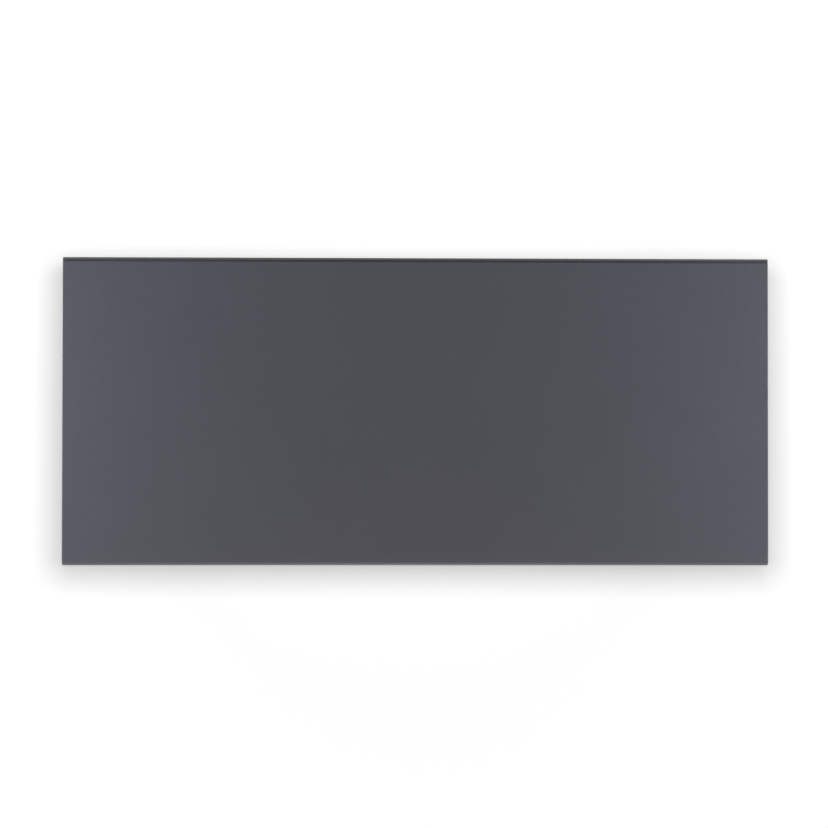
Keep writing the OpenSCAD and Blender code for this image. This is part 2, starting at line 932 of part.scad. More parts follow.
module overheat_cutout() {
    x = element_x1 - 55;
    z = shield_z1 - 12;
    color(gloss_black)
        rod_y(8, rear_shield_y - 9, rear_shield_y - 1.5, x, z);
    color(aluminium)
        difference() {
            box([x - 15, rear_shield_y - 1.5, z - 5], [x + 15, rear_shield_y, z + 5]);
            for (side = [-1, 1])
                rod_y(screw_hole_r, rear_shield_y - 3, rear_shield_y + cut, x + side * 12, z);
        }
}

module thermal_fuse() {
    x = element_x1 - 110;
    z = shield_z1 - 12;
    color(ceramic)
        rod_x(2, x - 7, x + 7, rear_shield_y - 2, z);
    color(aluminium)
        box([x - 2.5, rear_shield_y - 4.4, z - 2.6], [x + 2.5, rear_shield_y, z + 2.6]);
}

module room_sensor() {
    x = half_w - 50;
    z = floor_z + partition_t;
    color(moulding) {
        rod_z(5, z, z + 1.6, x, mid_y + 4);
        rod_z(3, z, z + 15, x, mid_y + 4);
    }
}

// Recessed pocket with the switch's body behind it, all one moulding
module mains_switch_housing() {
    x = half_w;
    body_y = rocker_w / 2 + rocker_gap + 1.6;
    body_z = rocker_l / 2 + rocker_gap + 1.6;
    body_x0 = x - pivot_depth - 10;
    hole = [rocker_w / 2 + rocker_gap, rocker_l / 2 + rocker_gap];
    color(gloss_black)
        translate([0, switch_y, switch_mid_z])
            difference() {
                union() {
                    along_x(x - pocket_d - pocket_wall, x)
                        rect(-[pocket_y - fit_gap, pocket_z - fit_gap],
                             [pocket_y - fit_gap, pocket_z - fit_gap]);
                    along_x(x - sheet_t - pocket_wall, x - sheet_t)
                        rect(-[pocket_y + 2.5, pocket_z + 2.5], [pocket_y + 2.5, pocket_z + 2.5]);
                    box([body_x0, -body_y, -body_z], [x - pocket_d, body_y, body_z]);
                    for (z = [-1, 0, 1] * body_z * 0.6)
                        box([body_x0 - 7, -2.4, z - 0.4], [body_x0, 2.4, z + 0.4]);
                }
                along_x(x - pocket_d, x + cut)
                    rect(-[pocket_y - pocket_wall, pocket_z - pocket_wall],
                         [pocket_y - pocket_wall, pocket_z - pocket_wall]);
                box([x - pivot_depth - 6, -hole.x, -hole.y], [x, hole.x, hole.y]);
                rod_y(trunnion_r + trunnion_gap, -body_y - cut, body_y + cut,
                      x - pivot_depth, 0);
            }
}

// Side view of the rocker about its pivot: round ends, two faces that meet over the pivot
module rocker_2d() {
    reach = rocker_l / 2;
    crown = 3;
    foot = 3.4;
    lean = rocker_swing / 2;
    intersection() {
        circle(reach);
        polygon([
            [-foot, -reach],
            [crown + reach * tan(lean), -reach],
            [crown, 0],
            [crown + reach * tan(lean), reach],
            [-foot, reach]
        ]);
    }
}

module mains_rocker() {
    color(gloss_black)
        translate([half_w - pivot_depth, switch_y, switch_mid_z])
            rotate([0, rocker_swing / 2, 0]) {
                along_y(-rocker_w / 2, rocker_w / 2)
                    rocker_2d();
                rod_y(trunnion_r, -rocker_w / 2 - trunnion_l, rocker_w / 2 + trunnion_l, 0, 0);
            }
}

module cord_inlet() {
    half = 7;
    block_z0 = inlet_mouth_z + inlet_bore_l - 2;
    color(moulding)
        difference() {
            union() {
                rod_y(inlet_neck_r, rear_in_y - 6, inlet_y, inlet_x, inlet_z);
                rod_y(inlet_neck_r + 3.2, rear_out_y, rear_out_y + 2.5, inlet_x, inlet_z);
                box([inlet_x - half, rear_out_y + 2.5, block_z0],
                    [inlet_x + half, inlet_y + half, inlet_z + half]);
                rod_z(half - 0.6, inlet_mouth_z, block_z0, inlet_x, inlet_y);
            }
            rod_z(cord_hole_r, inlet_mouth_z - cut, inlet_mouth_z + inlet_bore_l,
                  inlet_x, inlet_y);
            box([inlet_x - 4.6, inlet_y - 4.6, inlet_mouth_z + inlet_bore_l],
                [inlet_x + 4.6, inlet_y + 4.6, inlet_z + 4.6]);
            rod_y(cord_hole_r + 0.4, rear_in_y - 7, inlet_y, inlet_x, inlet_z);
        }
}

module inlet_nut() {
    color(moulding)
        translate([inlet_x, rear_in_y, inlet_z])
            rotate([90, 0, 0])
                difference() {
                    cylinder(r = inlet_neck_r + 4, h = 4, $fn = 6);
                    translate([0, 0, -cut])
                        cylinder(r = inlet_neck_r + fit_gap / 2, h = 4 + 2 * cut);
                }
}

// Corners of the power board where it is screwed to its posts
function board_post_places() =
    [for (x = [-1, 1] * (board_w / 2 - post_inset), z = [-1, 1] * (board_h / 2 - post_inset))
        [board_x + x, board_z + z]];

module board_carrier() {
    y0 = rear_in_y - carrier_t;
    color("ivory")
        difference() {
            union() {
                box([board_x - board_w / 2, y0, board_low_z - carrier_tab],
                    [board_x + board_w / 2, rear_in_y, board_high_z + carrier_tab]);
                for (place = board_post_places())
                    rod_y(post_r, board_back_y, y0, place.x, place.y);
            }
            for (place = board_post_places())
                rod_y(screw_hole_r, board_back_y - cut, y0 + cut / 2, place.x, place.y);
            for (place = rear_screw_places())
                if (place.x == board_x)
                    rod_y(screw_hole_r, y0 - cut, rear_in_y + cut, place.x, place.y);
        }
}

module power_board() {
    color(green_board)
        difference() {
            box([board_x - board_w / 2, board_front_y, board_low_z],
                [board_x + board_w / 2, board_back_y, board_high_z]);
            for (place = board_post_places())
                rod_y(screw_hole_r, board_front_y - cut, board_back_y + cut, place.x, place.y);
        }
}

// Block on the front of the power board, x from the board's middle line
module on_board(x, z, size) {
    translate([board_x + x - size.x / 2, board_front_y - size.y, z - size.z / 2])
        cube(size);
}

module relays() {
    color("#2b4c8c")
        for (x = [-30, -6])
            on_board(x, relay_z, [19, 16, 15.5]);
}

module transformer() {
    color("#c8b45a")
        on_board(22, transformer_z, [28, 20, 24]);
    color(rubber)
        on_board(22, transformer_z, [34, 16, 30]);
}

module capacitors() {
    color("#30343f")
        for (i = [0:2])
            rod_y(5, board_front_y - 16, board_front_y, board_x - 34 + 13 * i, capacitor_z);
}

module fuse() {
    y = board_front_y - 5;
    color(ceramic)
        rod_x(2.4, board_x + 8, board_x + 28, y, fuse_z);
    color(brass)
        for (x = [board_x + 8, board_x + 23])
            box([x, y - 3, fuse_z - 3], [x + 5, board_front_y, fuse_z + 3]);
}

module terminal_block() {
    color("ivory")
        difference() {
            translate([board_x - terminal_w / 2, board_front_y - terminal_d, terminal_z])
                cube([terminal_w, terminal_d, terminal_h]);
            for (i = [0:4]) {
                rod_z(way_r, terminal_z - cut, terminal_z + terminal_h * 0.7, way_x(i), way_y());
                rod_y(1.5, board_front_y - terminal_d - cut, board_front_y - terminal_d + 3,
                      way_x(i), terminal_z + terminal_h / 2);
            }
        }
}
function way_x(i) = board_x + (i - 2) * way_pitch;
function way_y() = board_front_y - terminal_d / 2;

module earth_terminal() {
    color(brass)
        translate([earth_x, rear_in_y, earth_z])
            rotate([90, 0, 0]) {
                cylinder(r = 2, h = 14);
                cylinder(r = 5, h = 1);
                translate([0, 0, 3.5])
                    cylinder(r = 4, h = 3.2, $fn = 6);
            }
}

// Tube along a smooth curve through the given points
lead_steps = 5;
lead_sides = 8;
function at_end(points, i) = points[max(0, min(len(points) - 1, i))];
function curve_point(a, b, c, d, t) =
    0.5 * (2 * b + (c - a) * t + (2 * a - 5 * b + 4 * c - d) * t * t
        + (3 * b - a - 3 * c + d) * t * t * t);
function curve(points) = [
    for (i = [0:len(points) - 2], s = [0:lead_steps - 1])
        curve_point(at_end(points, i - 1), points[i], points[i + 1], at_end(points, i + 2),
                    s / lead_steps),
    points[len(points) - 1]
];
function unit(v) = v / norm(v);
function heading(path, i) = unit(at_end(path, i + 1) - at_end(path, i - 1));
function square_to(v, along) = unit(v - (v * along) * along);
function side_vectors(path, v, i = 0) =
    i == len(path) ? [] :
    let (next = square_to(v, heading(path, i)))
    concat([next], side_vectors(path, next, i + 1));
module lead(points, r = lead_r) {
    path = curve(points);
    sides = side_vectors(path, [0.31, 0.87, 0.38]);
    count = len(path);
    corners = [
        for (i = [0:count - 1], k = [0:lead_sides - 1])
            let (angle = 360 * k / lead_sides, other = cross(heading(path, i), sides[i]))
            path[i] + r * (cos(angle) * sides[i] + sin(angle) * other)
    ];
    walls = [
        for (i = [0:count - 2], k = [0:lead_sides - 1])
            let (a = i * lead_sides, next = (k + 1) % lead_sides)
            each [
                [a + k, a + lead_sides + k, a + lead_sides + next],
                [a + k, a + lead_sides + next, a + next]
            ]
    ];
    start = [for (k = [0:lead_sides - 1]) k];
    end = [for (k = [lead_sides - 1:-1:0]) (count - 1) * lead_sides + k];
    polyhedron(corners, concat([start], walls, [end]));
}

inlet_end_y = rear_in_y - 6;

// Lead from the cord inlet to one way of the terminal block
module inlet_lead(way, shift) {
    x = inlet_x + shift.x;
    z = inlet_z + shift.y;
    lead([
        [x, inlet_end_y + 5, z],
        [x, inlet_end_y - 3, z],
        [x, way_y() + 6, z + 7],
        [(x + way_x(way)) / 2, way_y() + 1, z + inlet_rise],
        [way_x(way), way_y(), terminal_z - 3 * way_drop],
        [way_x(way), way_y(), terminal_z - way_drop],
        [way_x(way), way_y(), terminal_z + way_in]
    ]);
}

module live_lead() {
    color("#7a4a2b")
        inlet_lead(3, [-1.6, 1.4]);
}

module neutral_lead() {
    color("#3b62a8")
        inlet_lead(4, [1.6, 1.4]);
}

module earth_lead() {
    y = rear_in_y - 2.4;
    color("#5f9a3d")
        lead([
            [inlet_x, inlet_end_y + 5, inlet_z - 2],
            [inlet_x, inlet_end_y - 3, inlet_z - 2],
            [inlet_x - 5, inlet_end_y - 8, inlet_z + 2],
            [inlet_x - 20, inlet_end_y - 8, inlet_z + 22],
            [earth_x + 16, y - 4, earth_z - 14],
            [earth_x + 9, y, earth_z - 1],
            [earth_x + 5.2, y, earth_z]
        ]);
}

module element_leads() {
    color("#d8d2c4")
        for (i = [0, 1]) {
            bend = i == 0 ? -1 : 1;
            way = 1 - i;
            lead([
                [rod_pin_x + fit_gap, mid_y, element_zs[i]],
                [rod_pin_x + 2, mid_y, element_zs[i]],
                [rod_pin_x + 4, mid_y, element_zs[i] - 0.5 * bend],
                [partition_x - 7, mid_y + 3, grommet_z + bend * 14],
                [partition_x - 4, grommet_y, grommet_z + bend * 2.2],
                [partition_x + 6, grommet_y, grommet_z + bend * 2.2],
                [partition_x + 24, way_y(), grommet_z + 18 + bend * 3],
                [way_x(way), way_y(), terminal_z - 26],
                [way_x(way), way_y(), terminal_z - 10],
                [way_x(way), way_y(), terminal_z + way_in]
            ]);
        }
}

module display_ribbon() {
    w = 14;
    t = 0.8;
    x = board_x - 14;
    y = board_front_y - 8;
    color("lightgray") {
        box([x, y, ribbon_z], [x + w, y + t, display_board_z - board_t]);
        box([x, y, ribbon_z], [x + w, board_front_y, ribbon_z + t]);
    }
}

module casing_screws() {
    color(galvanised)
        for (place = casing_screw_places())
            screw_from_behind(place.x, back_y, place.y, 7);
}

module inner_screws() {
    color(galvanised) {
        for (place = rear_screw_places())
            screw_from_behind(place.x, rear_out_y, place.y, 5);
        for (place = board_post_places())
            translate([place.x, board_front_y, place.y])
                rotate([90, 0, 0])
                    screw(7);
        for (x = [element_foot_x0, element_foot_x1], z = element_zs)
            translate([x, front_shield_y - shield_t, z])
                rotate([90, 0, 0])
                    screw(4);
        for (place = grille_screw_places())
            translate([place.x, place.y, floor_z + partition_t])
                screw(sheet_t + partition_t);
    }
}

// Upright of the wall bracket: a channel whose flanges end in hooks
module bracket_upright(x) {
    web_y = upright_base_y - bracket_t;
    module hook_2d(z) {
        lip_y = rear_in_y - hook_lip_gap;
        rect([lip_y - hook_lip_t, z], [upright_tip_y + cut, z + hook_neck_h]);
        rect([lip_y - hook_lip_t, z], [lip_y, z + hook_neck_h + hook_lip_h]);
    }
    color(galvanised)
        translate([x, 0, 0])
            difference() {
                union() {
                    box([-upright_w / 2, web_y, -upright_h / 2],
                        [upright_w / 2, upright_base_y, upright_h / 2]);
                    for (side = [-1, 1])
                        translate([side * (upright_w - bracket_t) / 2, 0, 0])
                            along_x(-bracket_t / 2, bracket_t / 2) {
                                rect([upright_tip_y, -upright_h / 2],
                                     [upright_base_y, upright_h / 2]);
                                for (z = hook_z)
                                    hook_2d(z);
                            }
                }
                for (rivet = [-1, 1] * rivet_x, z = [-1, 1] * screw_spacing_z / 2)
                    rod_y(rivet_r + 0.1, web_y - cut, upright_base_y + cut, rivet, z);
                // window that lightens the web
                box([-8, web_y - cut, -60], [8, upright_base_y + cut, 60]);
            }
}

module bracket_upright_left() {
    bracket_upright(-upright_spacing / 2);
}

module bracket_upright_right() {
    bracket_upright(upright_spacing / 2);
}

// Rail of the wall bracket, against the wall
module bracket_rail(z) {
    x = (upright_spacing + upright_w) / 2 + 6;
    color(galvanised)
        difference() {
            along_y(-rail_t, 0)
                round_rect([-x, z - rail_h / 2], [x, z + rail_h / 2], 4);
            for (hole_x = [-1, 1] * screw_spacing_x / 2)
                rod_y(wall_hole_r, -rail_t - cut, cut, hole_x, z);
            for (side = [-1, 1], rivet = [-1, 1] * rivet_x)
                rod_y(rivet_r + 0.1, -rail_t - cut, cut, side * upright_spacing / 2 + rivet, z);
        }
}

module bracket_rail_top() {
    bracket_rail(screw_spacing_z / 2);
}

module bracket_rail_bottom() {
    bracket_rail(-screw_spacing_z / 2);
}

module bracket_rivets() {
    face_y = upright_base_y - bracket_t;
    color(aluminium)
        for (x = [-1, 1] * upright_spacing / 2, rivet = [-1, 1] * rivet_x)
            for (z = [-1, 1] * screw_spacing_z / 2) {
                rod_y(rivet_r, face_y, 0, x + rivet, z);
                rod_y(rivet_head_r, face_y - rivet_head_h, face_y, x + rivet, z);
            }
}

front_panel();
front_stiffeners();
rear_panel();
top_cover();
outlet_grille();
bottom_grille();
partition_plate();
partition_grommet();
wall_spacers();
control_fascia();
fascia_gasket();
display_window();
display_module();
display_board();
tact_switches();
status_light_pipes();
radio_module();
button_power();
button_minus();
button_plus();
button_mode();
plunger_power();
plunger_minus();
plunger_plus();
plunger_mode();
element_fins();
element_rods();
ceramic_bushes();
element_bracket_left();
element_bracket_right();
front_heat_shield();
rear_heat_shield();
overheat_cutout();
thermal_fuse();
room_sensor();
mains_switch_housing();
mains_rocker();
cord_inlet();
inlet_nut();
board_carrier();
power_board();
relays();
transformer();
capacitors();
fuse();
terminal_block();
earth_terminal();
live_lead();
neutral_lead();
earth_lead();
element_leads();
display_ribbon();
casing_screws();
inner_screws();
bracket_upright_left();
bracket_upright_right();
bracket_rail_top();
bracket_rail_bottom();
bracket_rivets();
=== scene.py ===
# Looks of the electric panel heater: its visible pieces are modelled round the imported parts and
# set against a plain wall in soft studio light. Lengths are in metres. X runs right as seen from
# the front, Y runs into the wall and Z runs up.
import json
import math
from contextlib import contextmanager

import bmesh
import bpy
from bpy.props import FloatProperty, FloatVectorProperty, PointerProperty
from bpy.types import Operator, Panel, PropertyGroup
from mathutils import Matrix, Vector


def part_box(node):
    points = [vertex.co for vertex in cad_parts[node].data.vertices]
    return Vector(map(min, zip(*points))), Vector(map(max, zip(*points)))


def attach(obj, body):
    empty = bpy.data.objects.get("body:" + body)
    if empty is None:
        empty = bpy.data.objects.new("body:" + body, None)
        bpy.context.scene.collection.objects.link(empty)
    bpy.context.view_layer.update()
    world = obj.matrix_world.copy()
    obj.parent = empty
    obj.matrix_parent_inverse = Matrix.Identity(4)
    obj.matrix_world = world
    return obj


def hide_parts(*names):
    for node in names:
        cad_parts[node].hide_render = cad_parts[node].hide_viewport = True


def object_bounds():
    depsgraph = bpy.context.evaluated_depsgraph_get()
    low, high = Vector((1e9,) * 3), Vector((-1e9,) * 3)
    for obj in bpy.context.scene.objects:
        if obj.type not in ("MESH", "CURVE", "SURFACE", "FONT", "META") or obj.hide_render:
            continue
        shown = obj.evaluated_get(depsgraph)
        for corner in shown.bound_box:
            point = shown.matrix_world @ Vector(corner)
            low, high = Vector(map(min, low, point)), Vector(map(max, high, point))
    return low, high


bl_info = {
    "name": "Electric panel heater",
    "version": (1, 0, 0),
    "blender": (4, 5, 0),
    "location": "3D View > Sidebar > Heater",
    "description": "Models the visible pieces of a wall-hung panel heater and its studio",
    "category": "Object",
}

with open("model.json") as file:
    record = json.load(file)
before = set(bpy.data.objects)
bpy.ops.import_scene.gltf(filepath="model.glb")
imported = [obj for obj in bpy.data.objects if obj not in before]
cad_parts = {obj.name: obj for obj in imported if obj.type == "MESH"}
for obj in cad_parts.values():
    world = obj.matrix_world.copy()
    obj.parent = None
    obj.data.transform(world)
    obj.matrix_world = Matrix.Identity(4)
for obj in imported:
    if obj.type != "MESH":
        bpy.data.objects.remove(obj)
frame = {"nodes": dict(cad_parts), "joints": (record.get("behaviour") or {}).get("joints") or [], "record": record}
CAD_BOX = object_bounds()
MM = 0.001
# how near to a plane a face or an edge counts as lying on it
NEAR = 0.01 * MM
# gap round a piece that sits in an opening
FIT = 0.2 * MM
# how far pieces reach into each other before they are united
OVERLAP = 0.2 * MM
NODES = frame["nodes"]
JOINTS = {joint["name"]: joint for joint in frame["joints"]}
SLOTS = {row["node"]: row["material_slot"] for row in frame["record"]["subparts"]}
BODIES = {
    node: body for body, names in frame["record"]["behaviour"]["bodies"].items() for node in names
}
MOUNTS = {mount["name"]: mount for mount in frame["record"]["mounts"]}


# Sizes, colours and studio settings that a user may change


def linear(hex_colour):
    """Linear colour of an sRGB hex value such as #52545b, with full alpha."""
    channels = [int(hex_colour[i:i + 2], 16) / 255 for i in (1, 3, 5)]
    return [c / 12.92 if c <= 0.04045 else ((c + 0.055) / 1.055) ** 2.4 for c in channels] + [1.0]


def length(name, description, mm):
    return FloatProperty(
        name=name, description=description, default=mm * MM, min=0, subtype="DISTANCE", unit="LENGTH"
    )


def position(name, description, mm):
    return FloatProperty(
        name=name, description=description, default=mm * MM, subtype="DISTANCE", unit="LENGTH"
    )


def turn(name, description, degrees):
    return FloatProperty(
        name=name, description=description, default=math.radians(degrees), subtype="ANGLE",
        unit="ROTATION",
    )


def colour(name, description, hex_colour):
    return FloatVectorProperty(
        name=name, description=description, default=linear(hex_colour), size=4, min=0, max=1,
        subtype="COLOR",
    )


def power(name, description, watts):
    return FloatProperty(name=name, description=description, default=watts, min=0, unit="POWER")


def factor(name, description, value, high=1.0):
    return FloatProperty(
        name=name, description=description, default=value, min=0, max=high, subtype="FACTOR"
    )


class HeaterSizes(PropertyGroup):
    sheet: length("Front sheet", "Thickness of the painted front sheet", 1)
    fold: length("Fold radius", "Outer radius of the front sheet's folds", 2)
    lower_fold: length("Lower fold radius", "Outer radius of the fold under the front face", 4)
    side_fold: length("Side fold radius", "Outer radius of the folds at the top of the sides", 1.2)
    crown: length("Crown", "How far the front face draws back at its lower fold", 0.8)
    crown_height: length("Crown height", "Height over which the front face draws back", 20)
    flange: length("Flange", "Depth of the flanges round the open top and bottom", 12)
    return_flange: length("Return flange", "Width of the flanges at the back of the sides", 13)
    lip: length("Lip height", "Height of the cover's lip", 2.5)
    lip_round: length("Lip radius", "Radius of the lip's upper edges", 1.2)
    groove: length("Groove depth", "Depth of the shadow groove under the lip", 3)
    skirt: length("Skirt", "Thickness of the cover's skirt", 2.5)
    ledge: length("Ledge", "Width of the ledges under the grille and the fascia", 4)
    slat_pitch: length("Slat pitch", "Distance between the outlet slats", 7)
    slat: length("Slat thickness", "Thickness of an outlet slat", 1.6)
    slat_height: length("Slat height", "Height of an outlet slat", 8)
    slat_tilt: turn("Slat tilt", "Tilt of the outlet slats", 25)
    rib_pitch: length("Rib pitch", "Distance between the cross ribs", 68)
    button_dish: length("Button dish", "Depth of the dish in a button's top", 0.22)
    digit_height: length("Digit height", "Height of a digit on the display", 10)
    digit_width: length("Digit width", "Width of a digit on the display", 5.6)
    switch_flange: length("Switch flange", "Flange behind the side wall round the switch", 2.5)
    elbow: length("Elbow", "Width of the cord inlet's housing", 14)
    elbow_round: length("Elbow radius", "Radius of the housing's edges", 2.4)
    rim: length("Inlet rim", "Thickness of the rim that holds the cord inlet against the sheet", 2.5)


class HeaterColours(PropertyGroup):
    paint: colour("Powder coat", "Anthracite powder coat of the casing", "#414249")
    moulding: colour("Cover", "Moulded cover and grille", "#404146")
    gloss: colour("Fascia", "Gloss black fascia", "#0c0c0e")
    smoke: colour("Window", "Smoked display window", "#7a7a80")
    black: colour("Black nylon", "Moulded black pieces", "#1e1f21")
    ivory: colour("Ivory nylon", "Moulded ivory pieces", "#ddd6c4")
    digits: colour("Digits", "Light of the display's digits", "#dfe9f2")
    ink: colour("Ink", "Printed symbols", "#d9dbde")
    zinc: colour("Zinc", "Zinc-coated sheet steel", "#999da1")
    aluminium: colour("Aluminium", "Mill-finish aluminium", "#c3c6c9")
    ceramic: colour("Ceramic", "Unglazed steatite", "#e4decf")
    rubber: colour("Rubber", "Black rubber", "#1f1f21")
    solder_mask: colour("Solder mask", "Green solder mask of the boards", "#1f5c38")
    relay: colour("Relay", "Moulded relay cases", "#2b4c8c")
    brass: colour("Brass", "Turned brass", "#c9a24b")
    winding: colour("Winding", "Taped transformer winding", "#c4ad55")


class HeaterStudio(PropertyGroup):
    distance: length("Camera distance", "Camera to the middle of the front face", 3000)
    azimuth: turn("Azimuth", "Camera's angle about Z from straight in front", -1.47)
    elevation: turn("Elevation", "Camera's angle above the horizon", -1.14)
    roll: turn("Roll", "Camera's turn about its line of sight", 0.07)
    view_angle: turn("View angle", "Angle across the square picture", 18.855)
    aim_x: position("Aim X", "Point looked at, sideways", -2.95)
    aim_z: position("Aim Z", "Point looked at, upwards", -2.9)
    floor_drop: length("Floor", "Height of the heater's middle above the floor", 750)
    ambient: factor("Ambient", "Light of the white surroundings on the object", 0.18, 2)
    side_power: power("Side lights", "Power of each softbox beside the heater", 7.7)
    top_power: power("Top light", "Power of the softbox above", 2.8)
    under_power: power("Low light", "Power of the softbox below", 13)
    under_colour: colour("Low light colour", "Slightly warm light, as from a floor", "#fff3e0")
    back_power: power("Back lights", "Power of each softbox behind", 22)
    wall_power: power("Wall light", "Power of the softbox that lights only the wall", 14.3)
    wall_glow: factor("Wall glow", "White that only the camera sees behind the heater", 0.42)
    far_glow: factor("Far glow", "White that only the camera sees far from the heater", 0.9)


# Tools of the trade: selecting, starting pieces, shaping them and handing them over


def alone(*pieces):
    """Select only these pieces, the last one active."""
    bpy.ops.object.select_all(action="DESELECT")
    for piece in pieces:
        piece.select_set(True)
    bpy.context.view_layer.objects.active = pieces[-1]


def settle(piece, name):
    """Name a new piece and put its place and size into its mesh."""
    piece.name = name
    piece.data.name = name
    alone(piece)
    bpy.ops.object.transform_apply(location=True, rotation=True, scale=True)
    return piece


@contextmanager
def editing(piece):
    """Edit mode on one piece, with nothing selected."""
    alone(piece)
    bpy.ops.object.mode_set(mode="EDIT")
    bpy.ops.mesh.select_mode(type="FACE")
    bpy.ops.mesh.select_all(action="DESELECT")
    yield
    bpy.ops.object.mode_set(mode="OBJECT")


def pick(kind, test):
    """In edit mode, select the faces, edges or verts that pass a test, and nothing else."""
    mesh = bpy.context.object.data
    bpy.ops.mesh.select_mode(type={"faces": "FACE", "edges": "EDGE", "verts": "VERT"}[kind])
    bpy.ops.mesh.select_all(action="DESELECT")
    parts = bmesh.from_edit_mesh(mesh)
    for part in getattr(parts, kind):
        if test(part):
            part.select_set(True)
    parts.select_flush_mode()
    bmesh.update_edit_mesh(mesh)


def round_off(test, radius, segments):
    """In edit mode, round the edges that pass a test."""
    pick("edges", test)
    bpy.ops.mesh.bevel(offset=radius, segments=segments, affect="EDGES")


def middle(part):
    """Middle of a face or an edge."""
    return sum((corner.co for corner in part.verts), Vector()) / len(part.verts)


def runs_along(edge, axis):
    """Whether an edge runs along one axis."""
    span = edge.verts[1].co - edge.verts[0].co
    return abs(span[axis]) > 0.99 * span.length


def is_fold(edge):
    """Whether two faces of a sheet meet at a corner along an edge."""
    return len(edge.link_faces) == 2 and edge.calc_face_angle() > math.radians(60)


def over(low, high, z):
    """Point at a height over the middle of a box."""
    return Vector(((low.x + high.x) / 2, (low.y + high.y) / 2, z))


def block(name, low, high):
    """Plain block between two corners, to be shaped further."""
    low = Vector(low)
    high = Vector(high)
    bpy.ops.object.select_all(action="DESELECT")
    bpy.ops.mesh.primitive_cube_add(size=1, location=(low + high) / 2, scale=high - low)
    return settle(bpy.context.object, name)


def bar(name, radius, start, end, sides=48):
    """Round bar along an axis between two points, to be shaped further."""
    start = Vector(start)
    end = Vector(end)
    along = end - start
    bpy.ops.object.select_all(action="DESELECT")
    bpy.ops.mesh.primitive_cylinder_add(
        radius=radius, depth=along.length, vertices=sides, location=(start + end) / 2,
        rotation=along.to_track_quat("Z", "Y").to_euler(),
    )
    return settle(bpy.context.object, name)


def ring(name, low, high, width):
    """Rectangular frame: a block whose top and bottom are inset, opened and bridged."""
    piece = block(name, low, high)
    with editing(piece):
        pick("faces", lambda face: abs(face.normal.z) > 0.5)
        bpy.ops.mesh.inset(thickness=width, use_individual=True)
        bpy.ops.mesh.delete(type="FACE")
        pick("edges", lambda edge: edge.is_boundary)
        bpy.ops.mesh.bridge_edge_loops()
    return piece


def spin(centre, axis, angle, steps):
    """In edit mode, spin all that is there, merge its seam and turn its faces outwards."""
    bpy.ops.mesh.select_all(action="SELECT")
    bpy.ops.mesh.spin(steps=steps, angle=angle, center=centre, axis=axis)
    bpy.ops.mesh.select_all(action="SELECT")
    bpy.ops.mesh.remove_doubles(threshold=MM / 200)
    bpy.ops.mesh.normals_make_consistent(inside=False)


def turned(name, profile, centre, axis=(0, 0, 1), steps=48):
    """Turned piece: a profile of radii and heights, extruded point by point and spun."""
    axis = Vector(axis)
    centre = Vector(centre)
    across = axis.orthogonal().normalized()
    points = [centre + across * radius + axis * height for radius, height in profile]
    bpy.ops.object.select_all(action="DESELECT")
    bpy.ops.mesh.primitive_plane_add(size=MM, location=points[0])
    piece = settle(bpy.context.object, name)
    with editing(piece):
        bpy.ops.mesh.select_mode(type="VERT")
        bpy.ops.mesh.select_all(action="SELECT")
        bpy.ops.mesh.merge(type="CENTER")
        for here, there in zip(points, points[1:]):
            bpy.ops.mesh.extrude_region_move(TRANSFORM_OT_translate={"value": there - here})
        spin(centre, axis, 2 * math.pi, steps)
    return piece


def arc(name, radius, width, thickness, centre, start, sweep, steps=24):
    """Flat curved stroke about Z: a small upright face spun through an angle."""
    centre = Vector(centre)
    first = centre + radius * Vector((math.cos(start), math.sin(start), 0))
    bpy.ops.object.select_all(action="DESELECT")
    bpy.ops.mesh.primitive_plane_add(
        size=1, location=first + Vector((0, 0, thickness / 2)), rotation=(math.pi / 2, 0, start)
    )
    bpy.context.object.scale = (width, thickness, 1)
    piece = settle(bpy.context.object, name)
    with editing(piece):
        spin(centre, (0, 0, 1), sweep, steps)
    return piece


def hoop(name, radius, width, thickness, centre):
    """Flat ring about Z, turned from its closed section."""
    inner = radius - width / 2
    outer = radius + width / 2
    section = [(inner, 0), (outer, 0), (outer, thickness), (inner, thickness), (inner, 0)]
    return turned(name, section, centre)


def use(piece, kind, **settings):
    """Add a modifier with its settings and apply it."""
    modifier = piece.modifiers.new(kind.lower(), kind)
    for name, value in settings.items():
        setattr(modifier, name, value)
    alone(piece)
    bpy.ops.object.modifier_apply(modifier=modifier.name)


def join(pieces, name):
    """One piece out of several."""
    alone(*pieces)
    bpy.ops.object.join()
    return settle(bpy.context.object, name)


def carve(piece, *tools, operation="DIFFERENCE"):
    """Cut the tools away from a piece, or add them to it."""
    for tool in tools:
        use(piece, "BOOLEAN", object=tool, operation=operation, solver="EXACT")
        bpy.data.objects.remove(tool)


def repeat(piece, count, step):
    """Repeat a piece in a row, each copy a step from the last."""
    use(
        piece, "ARRAY", count=count, use_relative_offset=False, use_constant_offset=True,
        constant_offset_displace=step,
    )


def shift(piece, move):
    """Move a piece's mesh."""
    with editing(piece):
        bpy.ops.mesh.select_all(action="SELECT")
        bpy.ops.transform.translate(value=move)


def tilt(piece, angle, axis, centre):
    """Turn a piece's mesh about an axis, anticlockwise as seen against the axis."""
    with editing(piece):
        bpy.ops.mesh.select_all(action="SELECT")
        bpy.ops.transform.rotate(value=-angle, orient_axis=axis, center_override=centre)


def twin(piece, name, move):
    """Copy of a piece with its own mesh, moved."""
    alone(piece)
    bpy.ops.object.duplicate()
    copy = settle(bpy.context.object, name)
    shift(copy, move)
    return copy


def soften(piece, width, segments=2):
    """Round a piece's sharp edges a little."""
    use(
        piece, "BEVEL", width=width, segments=segments, limit_method="ANGLE",
        angle_limit=math.radians(35), miter_outer="MITER_ARC",
    )


